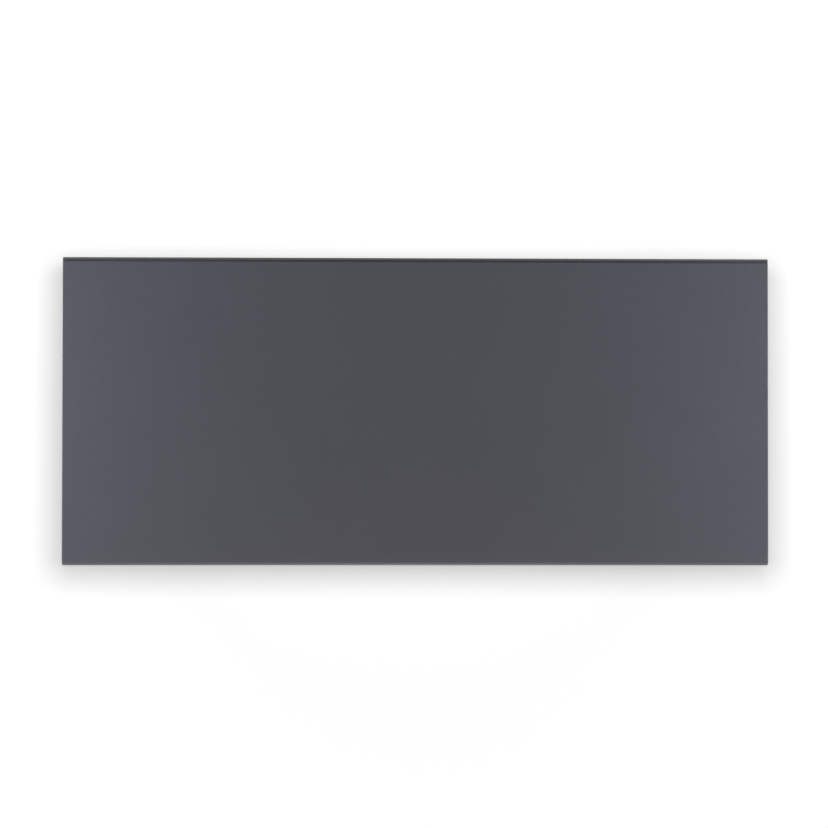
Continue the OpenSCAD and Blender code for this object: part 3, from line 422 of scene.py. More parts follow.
def shade(piece):
    """Smooth the rounds and keep the flats flat."""
    alone(piece)
    bpy.ops.object.shade_smooth_by_angle(angle=math.radians(40))
    use(piece, "WEIGHTED_NORMAL", keep_sharp=True, weight=100)


def hand_over(piece, body, slot, *nodes, finish=None):
    """Shade a finished piece, give it its finish or its slot's material, put it on its body and hide the nodes
    that it stands for.
    """
    shade(piece)
    piece.data.materials.clear()
    piece.data.materials.append(finish_of(finish or slot))
    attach(piece, body)
    if nodes:
        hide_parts(*nodes)


def replace(piece, node):
    """Hand over a piece in place of one node, on its body and with the material of its slot."""
    hand_over(piece, BODIES[node], SLOTS[node], node)


def stand_in(node, name, edge):
    """Copy of a node with whole faces and soft edges, which takes the node's place."""
    piece = bpy.data.objects.new(name, NODES[node].data.copy())
    bpy.context.scene.collection.objects.link(piece)
    with editing(piece):
        bpy.ops.mesh.customdata_custom_splitnormals_clear()
        bpy.ops.mesh.select_all(action="SELECT")
        bpy.ops.mesh.remove_doubles(threshold=MM / 1000)
        bpy.ops.mesh.dissolve_limited(angle_limit=math.radians(0.5))
    soften(piece, edge)
    replace(piece, node)


def dress(*nodes):
    """Give nodes that stay the finish of their slots."""
    for node in nodes:
        for slot in NODES[node].material_slots:
            slot.material = finish_of(SLOTS[node])


# Materials


def add(tree, kind, sources=None, **settings):
    """Add a node with its settings, each input set to a value or linked to an output."""
    made = tree.nodes.new("ShaderNode" + kind)
    for name, value in settings.items():
        setattr(made, name, value)
    for name, source in (sources or {}).items():
        if isinstance(source, bpy.types.NodeSocket):
            tree.links.new(source, made.inputs[name])
        else:
            made.inputs[name].default_value = source
    return made


def shader_of(name, base, roughness, **constants):
    """New material with its tree, its shader and the object's own coordinates."""
    made = bpy.data.materials.new(name)
    made.use_nodes = True
    tree = made.node_tree
    shader = tree.nodes["Principled BSDF"]
    shader.inputs["Base Color"].default_value = base
    shader.inputs["Roughness"].default_value = roughness
    for constant, value in constants.items():
        shader.inputs[constant.replace("_", " ")].default_value = value
    place = add(tree, "TexCoord").outputs["Object"]
    made.diffuse_color = base
    return made, tree, shader, place


def mottle(tree, shader, pattern, darker, lighter):
    """Let a pattern vary the base colour between two shares of it."""
    base = shader.inputs["Base Color"].default_value[:]
    low = [channel * darker for channel in base[:3]] + [1]
    high = [min(1, channel * lighter) for channel in base[:3]] + [1]
    mixed = add(tree, "Mix", {0: pattern, 6: low, 7: high}, data_type="RGBA")
    tree.links.new(mixed.outputs[2], shader.inputs["Base Color"])


def vary_gloss(tree, shader, pattern, spread):
    """Let a pattern vary the roughness about its value."""
    rough = shader.inputs["Roughness"].default_value
    ranged = add(tree, "MapRange", {"Value": pattern, "To Min": rough - spread, "To Max": rough + spread})
    tree.links.new(ranged.outputs["Result"], shader.inputs["Roughness"])


def emboss(tree, shader, pattern, depth):
    """Let a pattern raise and sink the surface by a depth in metres."""
    bump = add(tree, "Bump", {"Height": pattern, "Distance": depth, "Strength": 1.0})
    tree.links.new(bump.outputs["Normal"], shader.inputs["Normal"])


def noise(tree, place, size_mm, detail=2.0, stretch=(1, 1, 1)):
    """Random pattern from nought to one whose features are about a size in millimetres."""
    stretched = add(tree, "Mapping", {"Vector": place, "Scale": stretch})
    made = add(tree, "TexNoise", {
        "Vector": stretched.outputs["Vector"], "Scale": 1 / (size_mm * MM), "Detail": detail,
    })
    full = add(tree, "MapRange", {"Value": made.outputs["Fac"], "From Min": 0.28, "From Max": 0.72})
    return full.outputs["Result"]


def powder_coat(colours):
    """Polyester powder coat, sprayed on steel and baked: matt, with an even fine texture."""
    made, tree, shader, place = shader_of("powder_coat", colours.paint[:], 0.55, Specular_IOR_Level=0.25)
    # the real grain is about 0.3 mm and is drawn 1.5 mm wide so that it shows
    grain = noise(tree, place, 1.5, 3)
    # orange peel, the faint waves that the coat keeps as it flows out, is about 6 mm wide
    peel = noise(tree, place, 6, 2)
    fine = add(tree, "Mix", {0: 0.5, 2: peel, 3: grain}, data_type="FLOAT").outputs[0]
    both = add(tree, "Mix", {0: 0.75, 2: noise(tree, place, 70, 1), 3: fine}, data_type="FLOAT").outputs[0]
    mottle(tree, shader, both, 0.93, 1.07)
    vary_gloss(tree, shader, grain, 0.08)
    emboss(tree, shader, fine, 0.1 * MM)
    return made


def moulded_cover(colours):
    """Heat-resistant ABS with a spark-eroded surface: an even satin, slightly darker than the coat."""
    made, tree, shader, place = shader_of("moulded_cover", colours.moulding[:], 0.48)
    # the sparks leave pits of about 0.1 mm, which are drawn 0.9 mm wide so that they show
    pits = noise(tree, place, 0.9, 2)
    both = add(tree, "Mix", {0: 0.5, 2: noise(tree, place, 30, 2), 3: pits}, data_type="FLOAT").outputs[0]
    mottle(tree, shader, both, 0.93, 1.07)
    vary_gloss(tree, shader, pits, 0.08)
    emboss(tree, shader, pits, 0.03 * MM)
    return made


def gloss_fascia(colours):
    """Piano-black acrylic, cast and polished: deep black with faint wiping marks in its gloss."""
    made, tree, shader, place = shader_of(
        "gloss_fascia", colours.gloss[:], 0.09, IOR=1.49, Specular_IOR_Level=0.25
    )
    wiped = noise(tree, place, 6, 4, (1, 6, 1))
    mottle(tree, shader, wiped, 0.85, 1.25)
    vary_gloss(tree, shader, wiped, 0.03)
    return made


def smoked_window(colours):
    """Smoked acrylic sheet: dark, clear enough for lit digits to show through."""
    made, tree, shader, place = shader_of(
        "smoked_window", colours.smoke[:], 0.05, IOR=1.49, Specular_IOR_Level=0.25,
        Transmission_Weight=1.0,
    )
    vary_gloss(tree, shader, noise(tree, place, 8, 3), 0.02)
    return made


def black_plastic(colours):
    """Glass-filled black nylon, injection moulded: satin with a faint flow pattern."""
    made, tree, shader, place = shader_of("black_plastic", colours.black[:], 0.42)
    flow = noise(tree, place, 4, 3, (1, 1, 3))
    mottle(tree, shader, flow, 0.85, 1.2)
    vary_gloss(tree, shader, flow, 0.08)
    emboss(tree, shader, noise(tree, place, 0.8, 2), 0.015 * MM)
    return made


def pale_plastic(colours):
    """Natural nylon, injection moulded: ivory and slightly waxy."""
    made, tree, shader, place = shader_of(
        "pale_plastic", colours.ivory[:], 0.4, Subsurface_Weight=0.1, Subsurface_Scale=2 * MM
    )
    mottle(tree, shader, noise(tree, place, 12, 2), 0.94, 1.03)
    emboss(tree, shader, noise(tree, place, 1.0, 2), 0.01 * MM)
    return made


def light_pipe(colours):
    """Frosted acrylic rod: pale, lets a little light through."""
    made, tree, shader, place = shader_of(
        "light_pipe", colours.ink[:], 0.3, IOR=1.49, Transmission_Weight=0.4
    )
    mottle(tree, shader, noise(tree, place, 0.7, 2), 0.88, 1.0)
    return made


def galvanised(colours):
    """Sheet steel with a hot-dip zinc coat: grey metal with frozen spangles in its gloss."""
    made, tree, shader, place = shader_of("galvanised", colours.zinc[:], 0.42, Metallic=1.0)
    # spangles measure about 8 mm across
    spangle = add(tree, "TexVoronoi", {"Vector": place, "Scale": 1 / (8 * MM)}).outputs["Color"]
    tone = add(tree, "RGBToBW", {"Color": spangle}).outputs["Val"]
    both = add(tree, "Mix", {0: 0.4, 2: tone, 3: noise(tree, place, 2, 3)}, data_type="FLOAT").outputs[0]
    mottle(tree, shader, both, 0.8, 1.12)
    vary_gloss(tree, shader, tone, 0.1)
    emboss(tree, shader, noise(tree, place, 1.5, 2), 0.01 * MM)
    return made


def aluminium(colours):
    """Mill-finish aluminium, extruded or rolled along the heater: fine drawn lines."""
    made, tree, shader, place = shader_of("aluminium", colours.aluminium[:], 0.32, Metallic=1.0)
    lines = noise(tree, place, 0.8, 4, (0.02, 1, 1))
    mottle(tree, shader, lines, 0.86, 1.08)
    vary_gloss(tree, shader, lines, 0.08)
    emboss(tree, shader, lines, 0.008 * MM)
    return made


def ceramic(colours):
    """Unglazed steatite, pressed and fired: warm white with a faint speckle."""
    made, tree, shader, place = shader_of("ceramic", colours.ceramic[:], 0.55)
    mottle(tree, shader, noise(tree, place, 0.8, 4), 0.9, 1.04)
    emboss(tree, shader, noise(tree, place, 0.6, 3), 0.02 * MM)
    return made


def rubber(colours):
    """Moulded EPDM rubber: dull black with fine pores."""
    made, tree, shader, place = shader_of("rubber", colours.rubber[:], 0.72)
    pores = noise(tree, place, 0.8, 3)
    mottle(tree, shader, pores, 0.8, 1.25)
    emboss(tree, shader, pores, 0.03 * MM)
    return made


def circuit_board(colours):
    """Glass-epoxy board under green solder mask: copper tracks show as paler runs."""
    made, tree, shader, place = shader_of("circuit_board", colours.solder_mask[:], 0.32)
    tracks = add(
        tree, "TexVoronoi", {"Vector": place, "Scale": 1 / (4 * MM)}, distance="MANHATTAN",
        feature="F1",
    ).outputs["Distance"]
    edge = add(tree, "MapRange", {"Value": tracks, "From Min": 0.45, "From Max": 0.55}).outputs["Result"]
    mottle(tree, shader, edge, 0.8, 1.6)
    emboss(tree, shader, edge, 0.02 * MM)
    return made


def relay_blue(colours):
    """Polybutylene relay case, injection moulded: blue with a soft gloss."""
    made, tree, shader, place = shader_of("relay_blue", colours.relay[:], 0.3)
    mottle(tree, shader, noise(tree, place, 5, 2), 0.92, 1.06)
    vary_gloss(tree, shader, noise(tree, place, 2, 2), 0.05)
    return made


def brass(colours):
    """Turned brass: warm metal with fine tool lines and light tarnish."""
    made, tree, shader, place = shader_of("brass", colours.brass[:], 0.28, Metallic=1.0)
    mottle(tree, shader, noise(tree, place, 3, 4), 0.78, 1.05)
    vary_gloss(tree, shader, noise(tree, place, 0.7, 2, (1, 4, 1)), 0.08)
    return made


def winding(colours):
    """Copper winding under polyester tape: yellow with faint ridges from the turns."""
    made, tree, shader, place = shader_of("winding", colours.winding[:], 0.35)
    ridges = add(
        tree, "TexWave", {"Vector": place, "Scale": 1 / (6 * MM), "Distortion": 0.4},
        bands_direction="Z",
    ).outputs["Fac"]
    mottle(tree, shader, ridges, 0.85, 1.05)
    emboss(tree, shader, ridges, 0.08 * MM)
    return made


def lead_insulation(name, hex_colour):
    """Coloured silicone insulation, extruded on the leads: a soft sheen with slight streaks."""
    made, tree, shader, place = shader_of(name, linear(hex_colour), 0.4)
    mottle(tree, shader, noise(tree, place, 5, 3), 0.85, 1.1)
    emboss(tree, shader, noise(tree, place, 0.8, 2), 0.01 * MM)
    return made


def printed_ink(colours):
    """Pad-printed ink: flat pale grey, slightly uneven in its cover."""
    made, tree, shader, place = shader_of("printed_ink", colours.ink[:], 0.5)
    mottle(tree, shader, noise(tree, place, 0.4, 3), 0.88, 1.0)
    return made


def lit_digits(colours):
    """Light-emitting segments behind the window: an even cool white glow."""
    made, tree, shader, place = shader_of("lit_digits", colours.digits[:], 0.4)
    glow = noise(tree, place, 1.5, 1)
    mottle(tree, shader, glow, 0.8, 1.0)
    shader.inputs["Emission Color"].default_value = colours.digits[:]
    shader.inputs["Emission Strength"].default_value = 8.0
    return made


LEADS = {"lead_brown": "#6f4327", "lead_blue": "#2f55a0", "lead_green": "#5f9a3d", "lead_pale": "#d3ccbc"}

FINISHES = {
    maker.__name__: maker
    for maker in (
        powder_coat, moulded_cover, gloss_fascia, smoked_window, black_plastic, pale_plastic, light_pipe,
        galvanised, aluminium, ceramic, rubber, circuit_board, relay_blue, brass, winding, printed_ink,
        lit_digits,
    )
}


def finish_of(name):
    """The material of a slot or a new finish, made the first time that it is asked for."""
    known = bpy.data.materials.get(name)
    if known and known.get("finished"):
        return known
    if known:
        known.name = name + "_packed"
    if name in LEADS:
        made = lead_insulation(name, LEADS[name])
    else:
        made = FINISHES[name](bpy.context.scene.heater_colours)
    made["finished"] = True
    return made


# Casing


def folded_front(sizes):
    """The front sheet: a block opened at its back, top and bottom, with folds and a thin wall."""
    low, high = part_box("front_panel")
    piece = block("front_sheet", low, high)
    side = high.x - sizes.flange
    back = high.x - sizes.return_flange
    flange_y = low.y + sizes.flange
    crown_z = low.z + sizes.crown_height
    cuts = [((x, 0, 0), (1, 0, 0)) for x in (-side, -back, back, side)]
    cuts += [((0, flange_y, 0), (0, 1, 0)), ((0, 0, crown_z), (0, 0, 1))]

    def is_lower_front(edge):
        spot = middle(edge)
        return runs_along(edge, 0) and spot.z < low.z + NEAR and spot.y < low.y + sizes.crown + NEAR

    def is_side_top(edge):
        spot = middle(edge)
        return runs_along(edge, 1) and spot.z > high.z - NEAR and abs(spot.x) > side

    with editing(piece):
        for spot, normal in cuts:
            bpy.ops.mesh.select_all(action="SELECT")
            bpy.ops.mesh.bisect(plane_co=spot, plane_no=normal)
        pick("faces", lambda face: face.normal.y > 0.5 and abs(middle(face).x) < back)
        bpy.ops.mesh.delete(type="FACE")
        pick(
            "faces",
            lambda face: abs(face.normal.z) > 0.5 and abs(middle(face).x) < side
            and middle(face).y > flange_y,
        )
        bpy.ops.mesh.delete(type="FACE")
        pick("edges", is_lower_front)
        bpy.ops.transform.translate(value=(0, sizes.crown, 0))
        bpy.ops.mesh.bevel(offset=sizes.lower_fold, segments=7, affect="EDGES")
        round_off(lambda edge: is_fold(edge) and not is_side_top(edge), sizes.fold, 5)
        round_off(lambda edge: is_fold(edge) and is_side_top(edge), sizes.side_fold, 3)
        bpy.ops.mesh.select_all(action="SELECT")
        bpy.ops.mesh.dissolve_limited(angle_limit=math.radians(0.5))
    use(piece, "SOLIDIFY", thickness=sizes.sheet, offset=-1, use_even_offset=True)
    return piece


def switch_opening(sizes):
    """Block that cuts the opening for the mains switch in the side wall."""
    low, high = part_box("mains_switch_housing")
    inset = Vector((0, sizes.switch_flange, sizes.switch_flange))
    return block("opening", low + inset, high - inset + Vector((MM, 0, 0)))


class HEATER_OT_front_sheet(Operator):
    """Fold the painted front sheet and cut its switch opening"""

    bl_idname = "heater.front_sheet"
    bl_label = "Front sheet"

    def execute(self, context):
        sizes = context.scene.heater_sizes
        piece = folded_front(sizes)
        carve(piece, switch_opening(sizes))
        replace(piece, "front_panel")
        dress("front_stiffeners")
        return {"FINISHED"}


def inlet_neck(centre, rim_r, seat, rim_end, reach):
    """Neck of the cord inlet, which passes through the rear sheet and has a rim on its outside."""
    rim_width = 3.2 * MM
    rim_round = 1 * MM
    chamfer = 0.6 * MM
    neck_r = rim_r - rim_width
    profile = [
        (0, 0), (neck_r - chamfer, 0), (neck_r, chamfer), (neck_r, seat), (rim_r, seat),
        (rim_r, rim_end - rim_round), (rim_r - 0.4 * rim_round, rim_end - 0.3 * rim_round),
        (rim_r - rim_round, rim_end), (neck_r, rim_end), (neck_r, reach), (0, reach),
    ]
    return turned("cord_gland", profile, centre, (0, 1, 0))


def inlet_spout(centre, radius, height):
    """Spout that leads the cord down, with three grooves round it."""
    groove = 0.8 * MM
    profile = [(0, 0), (radius - groove, 0), (radius, groove)]
    for start in (2.6 * MM, 6 * MM, 9.4 * MM):
        profile += [
            (radius, start), (radius - groove, start + groove / 2),
            (radius - groove, start + 2 * groove), (radius, start + 2.5 * groove),
        ]
    return turned("spout", profile + [(radius, height), (0, height)], centre)


def cord_elbow(sizes):
    """Cord inlet: a rimmed neck, a rounded housing and a grooved spout that leads the cord down."""
    low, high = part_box("cord_inlet")
    bore_r = MOUNTS["mains_cord_inlet"]["dims"]["r_mm"] * MM
    bore = MOUNTS["mains_cord_inlet"]["dims"]["length_mm"] * MM
    exit_r = bore_r + 0.4 * MM
    half = sizes.elbow / 2
    rim_r = (high.x - low.x) / 2
    middle_x = (low.x + high.x) / 2
    turn_y = high.y - half
    turn_z = high.z - rim_r
    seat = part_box("inlet_nut")[1].y + sizes.sheet - low.y
    rim_end = seat + sizes.rim
    piece = inlet_neck((middle_x, low.y, turn_z), rim_r, seat, rim_end, turn_y - low.y)
    housing_z = low.z + bore - 2 * MM
    housing = block(
        "housing", (middle_x - half, low.y + rim_end - OVERLAP / 2, housing_z),
        (middle_x + half, high.y, turn_z + half),
    )
    soften(housing, sizes.elbow_round, segments=5)
    spout_top = housing_z - low.z + sizes.elbow_round
    spout = inlet_spout((middle_x, turn_y, low.z), half - 0.6 * MM, spout_top)
    carve(piece, housing, spout, operation="UNION")
    well = Vector((bore_r + MM, bore_r + MM, 0))
    chamber = block(
        "chamber", Vector((middle_x, turn_y, low.z + bore)) - well,
        Vector((middle_x, turn_y, turn_z + bore_r + MM)) + well,
    )
    entry = bar(
        "entry", bore_r, (middle_x, turn_y, low.z - MM), (middle_x, turn_y, low.z + bore + MM),
        sides=44,
    )
    way_out = bar("exit", exit_r, (middle_x, low.y - MM, turn_z), (middle_x, turn_y, turn_z))
    carve(piece, chamber, entry, way_out)
    return piece


def wall_spacer(name, centre, radius, depth):
    """Rubber foot: a stem that widens to a soft rim, with a shallow hollow towards the wall."""
    profile = [
        (0, 0), (0.9 * radius, 0), (0.9 * radius, 0.8 * depth), (radius, 0.85 * depth),
        (radius, 0.97 * depth), (0.94 * radius, depth), (0.6 * radius, depth),
        (0.52 * radius, depth - 1.2 * MM), (0, depth - 1.5 * MM),
    ]
    piece = turned(name, profile, centre, (0, 1, 0))
    soften(piece, 0.3 * MM)
    replace(piece, "wall_spacers")


class HEATER_OT_casing_back(Operator):
    """Make the rear panel, the inlet grille, the wall spacers and the cord inlet"""

    bl_idname = "heater.casing_back"
    bl_label = "Back and underside"

    def execute(self, context):
        stand_in("rear_panel", "rear_sheet", 0.15 * MM)
        stand_in("bottom_grille", "inlet_grille", 0.12 * MM)
        replace(cord_elbow(context.scene.heater_sizes), "cord_inlet")
        stand_in("inlet_nut", "gland_nut", 0.4 * MM)
        low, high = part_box("wall_spacers")
        radius = (high.z - low.z) / 2
        for name, x in (("spacer_left", low.x + radius), ("spacer_right", high.x - radius)):
            wall_spacer(name, (x, low.y, (low.z + high.z) / 2), radius, high.y - low.y)
        return {"FINISHED"}


# Top cover and outlet


def cover_plate(sizes):
    """The cover's plate, with rounded lip and corners."""
    low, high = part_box("top_cover")
    piece = block("cover", (low.x, low.y, high.z - sizes.lip), high)

    def is_under_lip(edge):
        spot = middle(edge)
        return spot.z < high.z - sizes.lip + NEAR and spot.y < low.y + sizes.fold

    with editing(piece):
        round_off(
            lambda edge: runs_along(edge, 2) and middle(edge).y < (low.y + high.y) / 2, sizes.fold, 6
        )
        round_off(lambda edge: middle(edge).z > high.z - NEAR, sizes.lip_round, 5)
        round_off(is_under_lip, 0.3 * MM, 2)
    return piece


def ledged_window(piece, node, sizes):
    """Add the ledge on which a node sits in the cover, and cut its window and its well."""
    cover_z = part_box("top_cover")[1].z
    plate_z = cover_z - sizes.lip
    low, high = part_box(node)
    fit = Vector((FIT, FIT, 0))
    rim = Vector((1.5 * MM, 1.5 * MM, 0))
    step = Vector((sizes.ledge, sizes.ledge, 0))
    first = Vector((low.x, low.y, plate_z)) - fit
    last = Vector((high.x, high.y, cover_z + MM)) + fit
    floor = Vector((0, 0, plate_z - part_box("front_panel")[1].z))
    top = Vector((0, 0, last.z - plate_z))
    ledge = block("ledge", first - rim - floor, last + rim - top + Vector((0, 0, OVERLAP)))
    carve(piece, ledge, operation="UNION")
    carve(piece, block("window", first, last))
    carve(piece, block("well", first + step - floor - Vector((0, 0, MM)), last - step))


class HEATER_OT_top_cover(Operator):
    """Make the moulded top cover with its lip, skirt and ledged windows"""

    bl_idname = "heater.top_cover"
    bl_label = "Top cover"

    def execute(self, context):
        sizes = context.scene.heater_sizes
        low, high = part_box("top_cover")
        piece = cover_plate(sizes)
        skirt = ring(
            "skirt", (low.x, low.y + sizes.groove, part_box("front_panel")[1].z),
            (high.x, high.y, high.z - sizes.lip + OVERLAP), sizes.skirt,
        )
        carve(piece, skirt, operation="UNION")
        for node in ("outlet_grille", "control_fascia"):
            ledged_window(piece, node, sizes)
        replace(piece, "top_cover")
        return {"FINISHED"}


GRILLE_WALL = 1.8 * MM


def row(span, pitch, centre):
    """How many pieces fit in a span at a pitch, and where the first one is."""
    count = max(1, math.floor(span / pitch))
    return count, centre - (count - 1) / 2 * pitch


def slat_row(sizes, start, end):
    """Tilted slats with rounded edges, which run the length of the grille's basket."""
    low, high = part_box("outlet_grille")
    drop = 0.4 * MM
    half = sizes.slat / 2
    count, y = row(end.y - start.y - 2 * GRILLE_WALL, sizes.slat_pitch, (low.y + high.y) / 2)
    z = high.z - sizes.slat_height / 2 - drop
    piece = block(
        "slat",
        (start.x + GRILLE_WALL / 2, y - half, z - sizes.slat_height / 2),
        (end.x - GRILLE_WALL / 2, y + half, z + sizes.slat_height / 2),
    )
    with editing(piece):
        round_off(lambda edge: runs_along(edge, 0), 0.45 * sizes.slat, 4)
    tilt(piece, sizes.slat_tilt, "X", ((low.x + high.x) / 2, y, z))
    repeat(piece, count, (0, sizes.slat_pitch, 0))
    return piece


def rib_row(sizes, start, end):
    """Cross ribs that hold the slats."""
    low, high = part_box("outlet_grille")
    half = sizes.slat / 2
    count, x = row(end.x - start.x, sizes.rib_pitch, (low.x + high.x) / 2)
    piece = block(
        "rib",
        (x - half, start.y + GRILLE_WALL / 2, low.z + 0.5 * MM),
        (x + half, end.y - GRILLE_WALL / 2, high.z - 0.8 * MM),
    )
    soften(piece, 0.4 * MM)
    repeat(piece, count, (sizes.rib_pitch, 0, 0))
    return piece


class HEATER_OT_outlet_grille(Operator):
    """Make the slatted outlet grille"""

    bl_idname = "heater.outlet_grille"
    bl_label = "Outlet grille"

    def execute(self, context):
        sizes = context.scene.heater_sizes
        low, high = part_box("outlet_grille")
        plate_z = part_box("top_cover")[1].z - sizes.lip
        rim = ring("rim", (low.x, low.y, plate_z), high, sizes.ledge + GRILLE_WALL)
        soften(rim, 0.35 * MM)
        start = low + Vector((sizes.ledge, sizes.ledge, 0))
        end = Vector((high.x - sizes.ledge, high.y - sizes.ledge, plate_z + OVERLAP))
        basket = ring("basket", start, end, GRILLE_WALL)
        slats = slat_row(sizes, start, end)
        ribs = rib_row(sizes, start, end)
        replace(join([rim, basket, slats, ribs], "outlet_louvre"), "outlet_grille")
        return {"FINISHED"}


# Controls

BUTTONS = ("power", "minus", "plus", "mode")
BUTTON_FLANGE = 1 * MM
BUTTON_GAP = 0.3 * MM
SEGMENT_WIDTH = 0.9 * MM
SEGMENT_HEIGHT = 0.12 * MM
SIGN_REACH = 3.6 * MM
SIGN_LINE = 0.45 * MM
SIGN_HEIGHT = 0.03 * MM


def drill(x, y, radius, sides=48):
    """Bar that drills an upright hole through the fascia."""
    low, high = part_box("control_fascia")
    return bar("hole", radius, (x, y, low.z - MM), (x, y, high.z + MM), sides)


def indicator_places():
    """Radius and middles of the row of indicator lights, one to each button."""
    low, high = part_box("status_light_pipes")
    radius = (high.y - low.y) / 2
    pitch = (high.x - low.x - 2 * radius) / (len(BUTTONS) - 1)
    y = (low.y + high.y) / 2
    return radius, [(low.x + radius + index * pitch, y) for index in range(len(BUTTONS))]


def fascia_plate():
    """Fascia with a stepped window for the display and holes for the buttons and the lights."""
    piece = block("fascia", *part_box("control_fascia"))
    soften(piece, 0.35 * MM, segments=3)
    low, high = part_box("display_window")
    fit = Vector((FIT, FIT, 0))
    step = Vector((2 * MM, 2 * MM, 0))
    spare = Vector((0, 0, MM))
    tools = [
        block("seat", low - fit, high + fit + spare),
        block("light", low + step - spare, high - step + spare),
    ]
    for name in BUTTONS:
        first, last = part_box("button_" + name)
        spot = (first + last) / 2
        tools.append(drill(spot.x, spot.y, (last.x - first.x) / 2 - BUTTON_FLANGE + BUTTON_GAP))
    radius, spots = indicator_places()
    tools += [drill(x, y, radius + FIT / 2, sides=24) for x, y in spots]
    carve(piece, *tools)
    return piece


def indicator_lights():
    """Row of clear round pipes with domed ends."""
    low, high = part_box("status_light_pipes")
    height = high.z - low.z
    radius, spots = indicator_places()
    profile = [
        (0, 0), (radius, 0), (radius, height - 0.1 * MM), (0.7 * radius, height + 0.04 * MM),
        (0, height + 0.1 * MM),
    ]
    return join([turned("pipe", profile, (x, y, low.z), steps=24) for x, y in spots], "indicator_lights")


def display_pane():
    """Window over the display, with softened edges."""
    piece = block("window_pane", *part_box("display_window"))
    soften(piece, 0.25 * MM, segments=3)
    return piece


def digit(strokes, centre, sizes):
    """One seven-segment digit, made of the strokes that are lit."""
    half = Vector((sizes.digit_width / 2, sizes.digit_height / 2, 0))
    upright = {
        "upper_left": (-half.x, half.y / 2, 0), "upper_right": (half.x, half.y / 2, 0),
        "lower_left": (-half.x, -half.y / 2, 0), "lower_right": (half.x, -half.y / 2, 0),
    }
    level = {"top": (0, half.y, 0), "middle": (0, 0, 0), "bottom": (0, -half.y, 0)}
    made = []
    for name in strokes:
        if name in upright:
            size = Vector((SEGMENT_WIDTH, half.y - 0.25 * MM, SEGMENT_HEIGHT))
            offset = Vector(upright[name])
        else:
            size = Vector((2 * half.x - 0.25 * MM, SEGMENT_WIDTH, SEGMENT_HEIGHT))
            offset = Vector(level[name])
        spot = centre + offset + Vector((0, 0, SEGMENT_HEIGHT / 2))
        piece = block("stroke", spot - size / 2, spot + size / 2)
        with editing(piece):
            round_off(lambda edge: runs_along(edge, 2), 0.45 * SEGMENT_WIDTH, 1)
        made.append(piece)
    return made


def temperature(sizes):
    """Twenty-one degrees in lit segments on the display module."""
    low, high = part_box("display_module")
    centre = over(low, high, high.z)
    pitch = Vector((sizes.digit_width + 2.6 * MM, 0, 0))
    two = digit(["top", "upper_right", "middle", "lower_left", "bottom"], centre - pitch, sizes)
    one = digit(["upper_right", "lower_right"], centre, sizes)
    degree = hoop(
        "degree", 1.0 * MM, 0.6 * MM, SEGMENT_HEIGHT,
        centre + Vector((pitch.x * 0.85, sizes.digit_height / 2 - 0.8 * MM, 0)),
    )
    return join(two + one + [degree], "display_digits")


class HEATER_OT_controls(Operator):
    """Make the fascia, the display and the indicator lights"""

    bl_idname = "heater.controls"
    bl_label = "Fascia and display"

    def execute(self, context):
        replace(fascia_plate(), "control_fascia")
        replace(indicator_lights(), "status_light_pipes")
        replace(display_pane(), "display_window")
        digits = temperature(context.scene.heater_sizes)
        hand_over(digits, "heater", "light_pipe", finish="lit_digits")
        dress(
            "fascia_gasket", "display_module", "display_board", "tact_switches", "radio_module",
            "display_ribbon",
        )
        return {"FINISHED"}


def button_cap(sizes):
    """Push button: stem, flange and cap with a dished top, turned in one."""
    low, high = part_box("button_power")
    stem_r = 1.6 * MM
    flange_r = (high.x - low.x) / 2
    cap_r = flange_r - BUTTON_FLANGE
    flange_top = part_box("control_fascia")[0].z - BUTTON_GAP - low.z
    flange_low = flange_top - 1.2 * MM
    top = high.z - low.z
    edge = 0.35 * MM
    dish = sizes.button_dish
    profile = [
        (0, 0), (stem_r, 0), (stem_r, flange_low), (flange_r, flange_low), (flange_r, flange_top),
        (cap_r, flange_top), (cap_r, top - edge), (cap_r - 0.1 * MM, top - 0.1 * MM),
        (cap_r - edge, top), (cap_r - 0.8 * MM, top - 0.05 * MM),
        (cap_r - 1.3 * MM, top - 0.6 * dish), (cap_r - 1.8 * MM, top - dish), (0, top - dish),
    ]
    return turned("button", profile, over(low, high, low.z), steps=64)


def stroke(name, centre, size_x, size_y, thickness=SIGN_HEIGHT):
    """Straight printed stroke with round ends."""
    half = Vector((size_x / 2, size_y / 2, 0))
    piece = block(name, centre - half, centre + half + Vector((0, 0, thickness)))
    with editing(piece):
        round_off(lambda edge: runs_along(edge, 2), 0.45 * min(size_x, size_y), 3)
    return piece


def minus_sign(centre):
    """A level stroke."""
    return [stroke("sign", centre, SIGN_REACH, SIGN_LINE)]


def plus_sign(centre):
    """An upright stroke with an arm on either side, so that no strokes cross."""
    arm = (SIGN_REACH - SIGN_LINE) / 2 + 0.1 * MM
    away = Vector(((SIGN_REACH + SIGN_LINE) / 4, 0, 0))
    arms = [stroke("sign", centre + side * away, arm, SIGN_LINE) for side in (-1, 1)]
    return arms + [stroke("sign", centre, SIGN_LINE, SIGN_REACH)]


def power_sign(centre):
    """A ring that is open at its top, with an upright stroke in the gap."""
    gap = math.radians(40)
    turn_round = 2 * math.pi - 2 * gap
    loop = arc("sign", 1.5 * MM, SIGN_LINE, SIGN_HEIGHT, centre, math.pi / 2 - gap, turn_round)
    return [loop, stroke("sign", centre + Vector((0, 1.3 * MM, 0)), SIGN_LINE, 1.6 * MM)]


def clock_sign(centre):
    """A ring with two hands."""
    fine = 0.7 * SIGN_LINE
    return [
        hoop("sign", 1.6 * MM, 0.8 * SIGN_LINE, SIGN_HEIGHT, centre),
        stroke("sign", centre + Vector((0, 0.45 * MM, 0)), fine, 1.3 * MM),
        stroke("sign", centre + Vector((0.55 * MM, -0.1 * MM, 0)), 0.8 * MM, fine),
    ]


SIGNS = {"power": power_sign, "minus": minus_sign, "plus": plus_sign, "mode": clock_sign}


